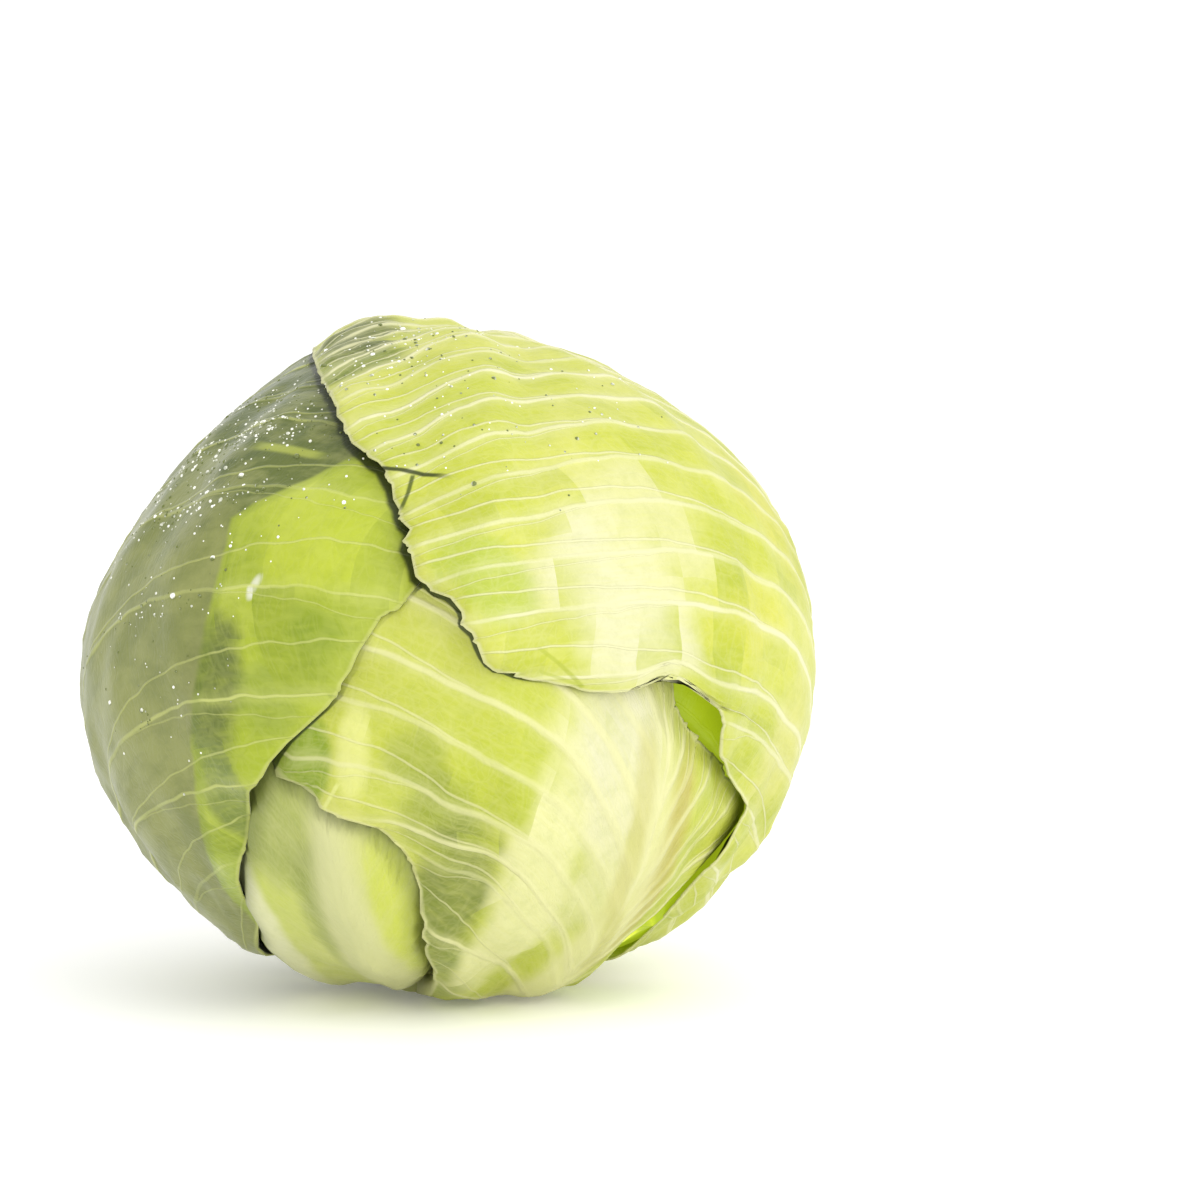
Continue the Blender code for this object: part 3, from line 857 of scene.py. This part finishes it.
def plain_blade(n, v, pale, mid, deep, green, patchy):
    """The blade's own colour, and how much each straight-sided block between veins differs."""
    mottle = n.minus(n.noise(v.place, MOTTLE_SCALE, 3.0), 0.5)
    greener = n.line(mottle, 1.5, green, clamp=True)
    colour = n.mix(n.step(greener, 0.0, 0.55), pale, mid)
    colour = n.mix(n.step(greener, 0.5, 1.1), colour, deep)
    shifted = n.times(n.random(v.below), 3.0)
    length_way = n.math("FLOOR", n.line(v.reach, BLOCKS_A_MM, shifted))
    block = n.line(length_way, 17.0, v.below)
    half_way = n.math("FLOOR", n.times(v.number, 2.0))
    half_block = n.line(half_way, 5.0, block)
    block = n.minus(n.random(n.plus(block, 0.21)), 0.5)
    half_block = n.minus(n.random(n.plus(half_block, 0.43)), 0.5)
    block = n.line(half_block, 0.5, block)
    paler = n.times(n.most(block, 0.0), patchy)
    colour = n.mix(paler, colour, pale)
    deeper = n.times(n.most(n.times(block, -1.0), 0.0), patchy)
    return n.mix(deeper, colour, deep), block


def with_tints_and_painted_light(n, v, colour, tints_and_painted_light, ragged):
    """The colour with soft oval patches, whose edges are ragged. Some are the leaf's own
    colour, and some are painted highlights and painted shade.
    """
    for x, y, wide, high, tint, strength, soft in tints_and_painted_light:
        apart = n.math("POWER", n.math("DIVIDE", n.minus(v.side, x), wide), 2)
        upward = n.math("POWER", n.math("DIVIDE", n.minus(v.rise, y), high), 2)
        near = n.line(ragged, soft, n.minus(n.minus(1.0, apart), upward))
        colour = n.mix(n.times(n.step(near, 0.0, soft), strength), colour, rgb(*tint))
    return colour


def with_bloom(n, v, colour, bloom, rough_edge, pale_line, vein, deep):
    """The colour with the grey waxy bloom, and where the bloom is. It ends in an arched line where
    another leaf had lain on the blade."""
    grey, darker, edge_x, edge_y = bloom
    higher = n.most(n.minus(v.rise, edge_y), 0.0)
    lower = n.most(n.minus(edge_y, v.rise), 0.0)
    edge = n.line(n.math("POWER", higher, 2), -0.0133, edge_x)
    edge = n.line(n.math("POWER", lower, 2), -0.0052, edge)
    top = n.most(n.minus(v.rise, 27.0), 0.0)
    edge = n.line(top, 1.15, edge)
    past = n.line(rough_edge, 2.2, n.minus(edge, v.side))
    dull = n.step(past, -0.5, 0.9)
    streaks = n.vector(n.times(v.number, 2.2), n.times(v.reach, 0.045))
    cloud = n.noise(v.place, CLOUD_SCALE, 4.0, 0.6)
    cloud = n.plus(cloud, n.noise(streaks, 1.6, 4.0, 0.65))
    cloud = n.step(cloud, 0.78, 1.22)
    high_up = n.step(v.rise, 12.0, 38.0)
    cloud = n.times(cloud, n.line(high_up, 0.45, 0.45))
    cloud = n.line(high_up, 0.35, cloud, clamp=True)
    greyed = n.mix(cloud, rgb(*grey), rgb(*darker))
    greyed = n.mix(n.times(pale_line, 0.6), greyed, vein)
    colour = n.mix(n.times(dull, 0.9), colour, greyed)
    line_past = n.times(n.step(past, -2.2, -0.6), n.step(past, 0.8, -0.4))
    return n.mix(n.times(line_past, 0.3), colour, deep), dull


def with_lines_and_slit_shade(n, v, colour, lines_and_slit_shade):
    """The colour with lines from one flat place to another, some of them painted shade in a slit. A
    wide one begins softly.
    """
    for (x1, y1), (x2, y2), wide, line_colour, strength in lines_and_slit_shade:
        run_x, run_y = x2 - x1, y2 - y1
        length = math.hypot(run_x, run_y)
        from_x, from_y = n.minus(v.side, x1), n.minus(v.rise, y1)
        along = n.times(from_x, run_x / length)
        along = n.line(from_y, run_y / length, along)
        aside = n.times(from_x, -run_y / length)
        aside = n.math("ABSOLUTE", n.line(from_y, run_x / length, aside))
        begun = n.step(along, -0.6, 0.2 if wide < 1 else 3 * wide)
        ends = n.times(begun, n.step(along, length, length * 0.75))
        mark = n.times(n.step(aside, wide * 1.1, wide * 0.3), ends)
        colour = n.mix(n.times(mark, strength), colour, rgb(*line_colour))
    return colour


def painted_lap_shadow(n, v, gap, shut):
    """How dark the painted shadow is along the margin of a leaf that lies over this one. gap is its
    width in degrees, and it is faint between each start and stop of shut, sideways."""
    painted_shadow = n.step(v.gap, -gap, -0.45 * gap)
    for start, stop, fade in shut:
        closed = n.times(n.step(v.side, start - 6.0, start), n.step(v.side, stop + fade, stop))
        painted_shadow = n.times(painted_shadow, n.line(closed, -0.85, 1.0))
    return painted_shadow


def leaf_height(n, v, line, twigs, net, fibre):
    """The height of the fine relief, for the bump."""
    height = n.times(n.most(line, n.times(twigs, 0.8)), 0.35)
    height = n.line(net, -0.12, height)
    height = n.line(fibre, 0.22, height)
    height = n.times(height, n.step(v.reach, 0.4, 2.4))
    height = n.line(n.noise(v.place, GRAIN_SCALE), 0.05, height)
    return n.line(n.noise(v.place, DIMPLE_SCALE), 0.20, height)


def leaf_material(name, pale, mid, deep, vein, green=0.45, tints_and_painted_light=(), lines_and_slit_shade=(), bloom=None, wax=0.36,
                  gap=0.9, strong=1.0, marks=1.0, patchy=0.3, shaded=(46, 58, 14), painted_glow=0.0, sheen=0.0,
                  shut=(), soft_shade=0.0, margin_highlight=0.0):
    """A waxy leaf. Its colour runs from pale to deep with noise round green. The tints are places in
    the leaf's flat degrees: sideways, up, reach both ways, colour, strength and softness; some are the
    leaf's own colour, some painted highlights and painted shade. The lines run from one flat place to
    another: width in degrees, colour and strength; some are painted shade in a slit. strong is how
    wide the side veins are, marks how clear, patchy how much the blocks between them differ, and the
    margin highlight how pale a painted highlight makes the margin. shaded and soft_shade paint shade
    on the leaf beside the one that lies on it, and a glowing leaf gives off painted light in its own
    colour."""
    pale, mid, deep, vein = (rgb(*colour) for colour in (pale, mid, deep, vein))
    n = Nodes(name)
    v = leaf_values(n)
    line, halo = side_veins(n, v, strong, marks)
    twigs = forked_veins(n, v, marks)
    net = vein_net(n, v)
    rib_width = n.line(v.along, -2.6, 3.4)
    midrib = n.step(n.math("DIVIDE", v.reach, rib_width), 0.45, 1.0, marks, 0.0)
    pale_line = n.most(line, n.times(twigs, 0.55))
    pale_line = n.most(pale_line, midrib)

    colour, block = plain_blade(n, v, pale, mid, deep, green, patchy)
    rough_edge = n.times(n.minus(n.noise(v.place, EDGE_SCALE, 3.0), 0.5), 0.9)
    ragged = n.line(block, 1.5 * patchy, rough_edge)
    colour = with_tints_and_painted_light(n, v, colour, tints_and_painted_light, ragged)
    speck = n.noise(v.place, SPECK_SCALE, 3.0, 0.65)
    colour = n.mix(n.step(speck, 0.40, 0.75, 0.0, 0.14), colour, deep)
    fibre = n.vector(n.times(v.number, 14.0), n.times(v.reach, 0.12))
    fibre = n.noise(fibre, 1.0, 3.0)
    colour = n.mix(n.step(fibre, 0.35, 0.75, 0.0, 0.22), colour, pale)
    colour = n.mix(n.step(v.depth, 0.0, 0.9, 0.0 if margin_highlight else 0.4, 0.0), colour, deep)

    colour = n.mix(n.times(net, 0.13), colour, vein)
    colour = n.mix(n.times(halo, 0.26), colour, vein)
    colour = n.mix(n.times(pale_line, n.step(v.depth, 0.0, 2.5, 0.2, 0.9)), colour, vein)
    colour = n.mix(n.step(v.rib, 0.10, 0.5, 0.0, 0.8), colour, vein)
    gloss = n.line(n.noise(v.place, GLOSS_SCALE), 0.16, wax)
    if bloom:
        colour, dull = with_bloom(n, v, colour, bloom, rough_edge, pale_line, vein, deep)
        gloss = n.line(dull, 0.10, gloss)
    # Painted shade, soft and wide, on the leaf beside the margin of one that lies over it
    if soft_shade:
        colour = n.mix(n.step(v.gap, -4.5, -0.2, 0.0, soft_shade), colour, rgb(96, 110, 50))
    # A painted highlight: the margin painted pale, where the thin edge of the blade catches the light
    if margin_highlight:
        colour = n.mix(n.step(v.depth, 0.15, 0.75, margin_highlight, 0.0), colour, vein)
    colour = with_lines_and_slit_shade(n, v, colour, lines_and_slit_shade)
    # Painted shadow, in the shaded colour, along the margin of each leaf that lies over this one
    painted_shadow = painted_lap_shadow(n, v, gap, shut)
    colour = n.mix(n.times(painted_shadow, 0.92), colour, rgb(*shaded))
    height = leaf_height(n, v, line, twigs, net, fibre)
    surface = {
        "Base Color": colour, "Roughness": gloss, "Normal": n.bump(height, 0.8, LEAF_BUMP),
        "Coat Weight": 0.05, "Coat Roughness": 0.2, "Specular IOR Level": 0.28,
        "Sheen Weight": sheen, "Sheen Roughness": 0.4,
    }
    # Painted light: the leaf glows in its own colour, though it is no lamp
    if painted_glow:
        surface["Emission Color"] = colour
        surface["Emission Strength"] = painted_glow
    return n.finish(surface)


# How each leaf looks, with colours as screens show them
VEIN = (252, 248, 205)
LEAF_LOOKS = {
    # Leaf 1 shows in the slot between the front and right leaves, and glows there as painted light
    "leaf_1_under_right": dict(
        pale=(218, 226, 70), mid=(200, 212, 38), deep=(160, 182, 16), vein=(226, 232, 96),
        gap=1.8, shaded=(140, 160, 20), painted_glow=1.25, patchy=0.8,
    ),
    "leaf_2_under_left": dict(
        pale=(226, 228, 140), mid=(190, 206, 90), deep=(140, 164, 50), vein=VEIN,
    ),
    "leaf_3_front_inner": dict(
        pale=(236, 238, 150), mid=(220, 230, 112), deep=(180, 196, 80), vein=(240, 240, 176),
        green=0.3, strong=1.6, marks=0.25, patchy=0.1, gap=0.5, shaded=(70, 84, 26), soft_shade=0.55,
        shut=((-21, 40, 5),),
        tints_and_painted_light=[
            # The two grey tints on the next line are painted shade: below the front leaf's flap, and
            # down the hollow of the fold
            (-10, -27, 8, 13, (170, 180, 98), 0.8, 1.0), (-4, -44, 6, 26, (154, 166, 82), 0.8, 0.9),
            (9, -42, 5, 24, (226, 236, 84), 0.85, 0.8), (-20, -50, 6, 28, (254, 254, 204), 1.0, 0.7),
        ],
        lines_and_slit_shade=[((6.6, -25.2), (7.8, -24.2), 0.5, (66, 78, 28), 0.8),
                 ((13.4, -43.8), (14.8, -42.8), 0.55, (56, 66, 22), 0.85)],
    ),
    "leaf_4_back_inner": dict(
        pale=(232, 234, 150), mid=(206, 218, 100), deep=(150, 176, 54), vein=VEIN,
    ),
    "leaf_5_front": dict(
        pale=(240, 240, 134), mid=(212, 222, 70), deep=(150, 174, 24), vein=(252, 250, 184),
        green=0.35, strong=1.5, marks=1.0, gap=0.6, margin_highlight=0.6,
        shut=((-50, -41, 2), (-20, 70, 6)), shaded=(66, 80, 24),
        tints_and_painted_light=[
            (-44, -6, 24, 22, (206, 216, 66), 0.8, 0.9), (-59, -18, 6, 11, (144, 172, 20), 0.95, 0.6),
            # The pale tint at (-50, -15) is a painted highlight on the lit side of the flap's fold
            (-50, -15, 3.4, 9, (248, 250, 150), 0.85, 0.8), (-37, -26, 8, 10, (158, 172, 60), 0.8, 0.8),
            (-41.5, -16, 6.5, 7, (166, 180, 66), 0.65, 0.9),
            (-32, -45, 10, 24, (130, 144, 56), 0.92, 0.8), (-24, -66, 7, 15, (150, 164, 84), 0.7, 0.8),
            (-9, -18, 11, 20, (250, 247, 210), 0.9, 0.8),
            (-18, -40, 8, 34, (255, 254, 186), 0.95, 0.7), (-7, -33, 8, 22, (252, 250, 196), 0.75, 0.9),
            (5, -42, 4.5, 30, (204, 188, 84), 0.85, 0.9),
        ],
        lines_and_slit_shade=[((-52.2, -20.5), (-54.8, -27), 0.45, (246, 250, 150), 0.9),
                 ((-4.0, -9), (-1.8, -50), 2.4, (210, 204, 96), 0.42),
                 ((-1.8, -40), (4, -64), 2.2, (206, 202, 92), 0.42)],
    ),
    "leaf_6_back": dict(
        pale=(234, 236, 150), mid=(208, 220, 100), deep=(152, 176, 54), vein=VEIN,
        tints_and_painted_light=[(0, 50, 60, 26, (190, 208, 84), 0.6, 0.8), (0, -55, 20, 30, (244, 240, 200), 0.7, 0.8)],
    ),
    "leaf_7_left": dict(
        pale=(216, 228, 84), mid=(184, 202, 42), deep=(116, 138, 26), vein=(232, 238, 140),
        gap=1.6, wax=0.33, patchy=0.55, sheen=0.3, margin_highlight=0.55,
        tints_and_painted_light=[
            (73, 28, 14, 15, (208, 222, 60), 0.75, 0.9), (62, -5, 7, 15, (104, 118, 48), 0.9, 0.8),
            # The small near-white spot is a painted highlight, a glint on the blade
            (66.2, 16.4, 1.1, 3.1, (255, 255, 240), 1.0, 0.9),
            (61, -24, 6, 11, (122, 140, 58), 0.85, 0.8), (80, 8, 11, 13, (142, 166, 34), 0.8, 0.9),
            (72, -6, 7, 9, (150, 170, 52), 0.6, 0.9), (47, 32, 9, 13, (118, 134, 62), 0.8, 1.0),
            (40, 52, 30, 16, (140, 154, 74), 0.7, 0.9), (52, -44, 7, 12, (180, 200, 70), 0.7, 0.8),
        ],
        lines_and_slit_shade=[((44, 41), (60, 46.5), 1.5, (210, 220, 92), 0.6)],
        bloom=((160, 164, 98), (90, 104, 42), 60, 8),
    ),
    "leaf_8_right": dict(
        pale=(241, 242, 130), mid=(216, 224, 70), deep=(160, 180, 22), vein=(255, 253, 200),
        green=0.42, gap=0.5, patchy=0.45, strong=1.4, marks=1.2, margin_highlight=0.6,
        tints_and_painted_light=[
            (-68, 66, 26, 18, (206, 218, 66), 0.6, 0.9), (-87, 27, 7, 17, (196, 214, 74), 0.85, 0.8),
            (-70, 14, 13, 26, (251, 248, 204), 0.9, 0.9), (-58, 24, 12, 16, (248, 246, 182), 0.75, 0.9),
            (-36, 96, 12, 11, (120, 138, 46), 0.9, 0.9), (-17, 98, 18, 11, (78, 94, 30), 0.95, 0.9),
            (-22, 16, 12, 18, (230, 228, 68), 0.7, 0.9), (-45, 2, 12, 10, (232, 232, 84), 0.6, 0.9),
            (-31, -22, 9, 18, (236, 234, 140), 0.7, 0.9), (-20, 50, 40, 9, (232, 234, 132), 0.5, 0.9),
        ],
        # The first two lines, dark, are painted shade in a slit of the blade
        lines_and_slit_shade=[((-82, 67), (-77.4, 51.2), 0.75, (48, 62, 12), 0.92),
                 ((-80.3, 57.8), (-88.5, 51.4), 0.5, (72, 90, 20), 0.85),
                 ((-79.6, -2.4), (-86, 9), 0.5, (190, 202, 56), 0.6),
                 ((-79.6, -2.4), (-86.5, 3), 0.45, (196, 208, 72), 0.5)],
    ),
}


def bead_mesh(beads):
    """Low domes on a leaf: the place, the outward direction and the radius of each."""
    points, faces = [], []
    corner = np.linspace(0, 2 * np.pi, BEAD_SIDES, endpoint=False)
    for place, out, radius in beads:
        first = np.cross(out, BEAD_TURN)
        first /= np.linalg.norm(first)
        second = np.cross(out, first)
        start = len(points)
        for level, (wide, tall) in enumerate(BEAD_LEVELS):
            for turn in corner + 0.3 * level:
                aside = (first * math.cos(turn) + second * math.sin(turn)) * wide * radius
                points.append(place + aside + out * tall * radius)
        points.append(place + out * BEAD_TOP * radius)
        for low in (start, start + BEAD_SIDES):
            for i in range(BEAD_SIDES):
                a, b = low + i, low + (i + 1) % BEAD_SIDES
                faces.append((a, b, b + BEAD_SIDES, a + BEAD_SIDES))
        top = start + 2 * BEAD_SIDES
        for i in range(BEAD_SIDES):
            faces.append((top + i, top + (i + 1) % BEAD_SIDES, top + BEAD_SIDES))
        faces.append(tuple(range(start, start + BEAD_SIDES))[::-1])
    return smooth_mesh("beads", points, faces)


def make_beads(index, centre, reach, count, seed, material):
    """Beads of water on a leaf, thickest round a place in its flat degrees."""
    leaf = LEAVES[index]
    places = leaf["outer"]
    flat = leaf["grid"]["flat"].reshape(*places.shape[:2], 2)
    draw = np.random.default_rng(seed)
    patch = np.hypot(*((flat[:-1, :-1] - centre) / reach).transpose(2, 0, 1))
    cells = np.argwhere(patch < BEADS_END)
    tries = draw.integers(len(cells), size=12 * count)
    shares = draw.uniform(size=(12 * count, 4))
    sizes = draw.lognormal(-0.28, 0.38, size=12 * count)
    beads = []
    for number, share, size in zip(tries, shares, sizes):
        row, column = cells[number]
        here, beside, above = places[row, column], places[row, column + 1], places[row + 1, column]
        low = here * (1 - share[0]) + beside * share[0]
        high = above * (1 - share[0]) + places[row + 1, column + 1] * share[0]
        place = low * (1 - share[1]) + high * share[1]
        area = np.linalg.norm(np.cross(beside - here, above - here))
        likely = min(area / BEAD_AREA, 1) * math.exp(-(patch[row, column] ** 2))
        if share[2] <= likely and len(beads) < count:
            out = place - CENTRE
            out /= np.linalg.norm(out)
            beads.append((place, out, BEAD_RADIUS * min(size, 2.4)))
    piece = new_object(f"water_beads_{seed}", bead_mesh(beads), material)
    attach(piece, "root")


def water():
    """Beads of water, painted near white as a painted glint, and some of them darker as painted shade.
    """
    n = Nodes("water")
    painted_glint = n.step(n.noise(n.place(), GRAIN_SCALE, 1.0), 0.40, 0.62)
    colour = n.mix(painted_glint, rgb(128, 140, 70), (1.0, 1.0, 0.9, 1.0))
    return n.finish({
        "Base Color": colour, "Roughness": 0.06, "IOR": 1.33, "Specular IOR Level": 0.8,
    })


def packed_leaves():
    """The pale leaves inside the head, with a fine grain."""
    n = Nodes("packed leaves")
    fibre = n.noise(n.place(), 120, 4.0, 0.6)
    colour = n.mix(n.step(fibre, 0.3, 0.7), rgb(206, 216, 96), rgb(228, 232, 140))
    return n.finish({
        "Base Color": colour, "Roughness": 0.5, "Normal": n.bump(fibre, 0.5, 0.0005),
        "Subsurface Weight": 0.15, "Subsurface Scale": 0.004,
    })


def round_faces(first, sides, rows, low, high):
    """Faces of a closed round shape: rows of points from number first on, and a point at each end."""
    faces = []
    last = first + (rows - 1) * sides
    for i in range(sides):
        j = (i + 1) % sides
        faces.append((low, first + j, first + i))
        for start in range(first, last, sides):
            faces.append((start + i, start + j, start + sides + j, start + sides + i))
        faces.append((last + i, last + j, high))
    return faces


def make_inner_head():
    """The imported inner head, with the laps of its own leaves."""
    ring = 2 * HEAD_ROWS
    azimuth, elevation = np.meshgrid(
        np.linspace(0, 2 * np.pi, ring, endpoint=False),
        np.linspace(-np.pi / 2, np.pi / 2, HEAD_ROWS + 1)[1:-1],
    )
    directions = np.column_stack([
        (np.sin(azimuth) * np.cos(elevation)).ravel(),
        (-np.cos(azimuth) * np.cos(elevation)).ravel(),
        np.sin(elevation).ravel(),
    ])
    directions = np.vstack([directions, [[0, 0, -1.0], [0, 0, 1.0]]])
    turned = np.degrees(np.arctan2(directions[:, 0], -directions[:, 1])) + 40 * directions[:, 2]
    lap = (turned % LAP_EVERY) / LAP_EVERY
    radius = inner_radius(directions) - (0.2 + 0.7 * lap * (1 - np.abs(directions[:, 2]))) * MM
    points = CENTRE + directions * radius[:, None]
    faces = round_faces(0, ring, HEAD_ROWS - 1, len(points) - 2, len(points) - 1)
    piece = new_object("inner_head_packed", smooth_mesh("inner_head", points, faces), packed_leaves())
    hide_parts("inner_head")
    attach(piece, "root")


def stem_mesh(top):
    """An uneven round stub. Its cut face has a raised woody ring."""
    turn = np.linspace(0, 2 * np.pi, STEM_SIDES, endpoint=False)
    uneven = 0.35 * np.sin(2 * turn + 0.6) + 0.25 * np.sin(5 * turn + 2) + 0.12 * np.sin(13 * turn)
    edge = (STEM_RADIUS_MM + uneven) * MM
    profile = []
    for share in np.linspace(0.04, 1, STEM_RINGS):
        dish = 0.35 * MM * math.exp(-(((share - 0.55) / 0.09) ** 2)) * (share < 0.9)
        profile.append((share * 0.965, dish))
    profile += [(0.985, 0.25 * MM), (1.0, 0.9 * MM), (1.012, 2.5 * MM), (1.0, 5.0 * MM), (0.97, top)]
    points = [(0, 0, 0.0)]
    for share, height in profile:
        waves = 0.06 * MM * (1 + np.sin(9 * turn + 40 * share)) if height < MM else 0
        x, y = edge * share * np.cos(turn), edge * share * np.sin(turn)
        points += list(np.column_stack([x, y, np.full(STEM_SIDES, height) + waves]))
    points.append((0, 0, top))
    return smooth_mesh("stem", points, round_faces(1, STEM_SIDES, len(profile), 0, len(points) - 1))


def cut_stem():
    """Dry cut wood with a darker ring, and the green skin round it."""
    n = Nodes("cut stem")
    place = n.place()
    parts = n.add("SeparateXYZ", {"Vector": place}).outputs
    out = n.math("SQRT", n.plus(n.math("POWER", parts[0], 2), n.math("POWER", parts[1], 2)))
    grain = n.noise(place, 700, 4.0, 0.6)
    ring = n.step(n.math("ABSOLUTE", n.minus(out, 8.8 * MM)), 0.6 * MM, 2.2 * MM, 1.0, 0.0)
    colour = n.mix(n.step(grain, 0.3, 0.7), rgb(188, 164, 122), rgb(214, 194, 152))
    colour = n.mix(n.times(ring, 0.6), colour, rgb(160, 130, 86))
    colour = n.mix(n.step(out, 14.0 * MM, 15.6 * MM), colour, rgb(206, 210, 130))
    return n.finish({
        "Base Color": colour, "Roughness": 0.7, "Normal": n.bump(grain, 0.7, 0.0004),
        "Subsurface Weight": 0.1, "Subsurface Scale": 0.002,
    })


def make_stem():
    """The cut stub that the leaves grow from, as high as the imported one."""
    low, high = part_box("stem")
    piece = new_object("stem_cut", stem_mesh(high[2]), cut_stem())
    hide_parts("stem")
    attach(piece, "root")


def make_floor():
    """The white floor, for the picture alone."""
    mesh = bpy.data.meshes.new("floor")
    corners = [(-1, -1), (1, -1), (1, 1), (-1, 1)]
    mesh.from_pydata([(x * FLOOR_REACH, y * FLOOR_REACH, 0) for x, y in corners], [], [(0, 1, 2, 3)])
    floor = new_object("floor", mesh, Nodes("floor").finish({
        "Base Color": (0.98, 0.98, 0.975, 1), "Roughness": 0.8, "Emission Color": (1, 1, 1, 1),
        "Emission Strength": FLOOR_GLOW,
    }))


def add_light(name, azimuth, elevation, distance, size, power):
    """A soft square light that faces the head. Its distance and size are in metres."""
    light = bpy.data.lights.new(name, "AREA")
    light.shape = "SQUARE"
    light.size = size
    light.energy = power
    lamp = new_object(name, light)
    from_head = direction_of(azimuth, elevation)
    lamp.location = CENTRE + from_head * distance
    lamp.rotation_mode = "QUATERNION"
    lamp.rotation_quaternion = Vector(from_head).to_track_quat("Z", "Y")


def make_camera():
    """The camera about a metre in front, a little above the head's middle."""
    data = bpy.data.cameras.new("camera")
    data.sensor_width = SENSOR_WIDTH
    data.lens = FOCAL_PIXELS / PICTURE_PIXELS * SENSOR_WIDTH
    camera = new_object("camera", data)
    camera.location = (0.0, -CAMERA_DISTANCE, CAMERA_HEIGHT)
    yaw, pitch = math.atan(AIM_RIGHT / FOCAL_PIXELS), math.atan(AIM_DOWN / FOCAL_PIXELS)
    camera.rotation_euler = (math.pi / 2 - pitch, 0.0, -yaw)
    bpy.context.scene.camera = camera


def make_studio():
    """White surroundings, and two lights from the right."""
    world = bpy.data.worlds.new("studio")
    world.use_nodes = True
    background = world.node_tree.nodes["Background"]
    background.inputs["Color"].default_value = (1, 1, 1, 1)
    background.inputs["Strength"].default_value = SURROUNDING_LIGHT
    bpy.context.scene.world = world
    bpy.context.scene.view_settings.view_transform = "Standard"
    for light in LIGHTS:
        add_light(*light)


def main():
    """All leaves are laid out flat before the first is made, since each leans on the others."""
    for index, leaf in enumerate(LEAVES):
        leaf["line"] = outline_of(leaf)
        leaf["grid"] = lay_out(index)
    make_camera()
    for index, leaf in enumerate(LEAVES):
        make_leaf(index, leaf_material(leaf["name"], **LEAF_LOOKS[leaf["name"]]))
    wet = water()
    for beads in BEADS:
        make_beads(*beads, wet)
    make_inner_head()
    make_stem()
    make_floor()
    make_studio()


main()
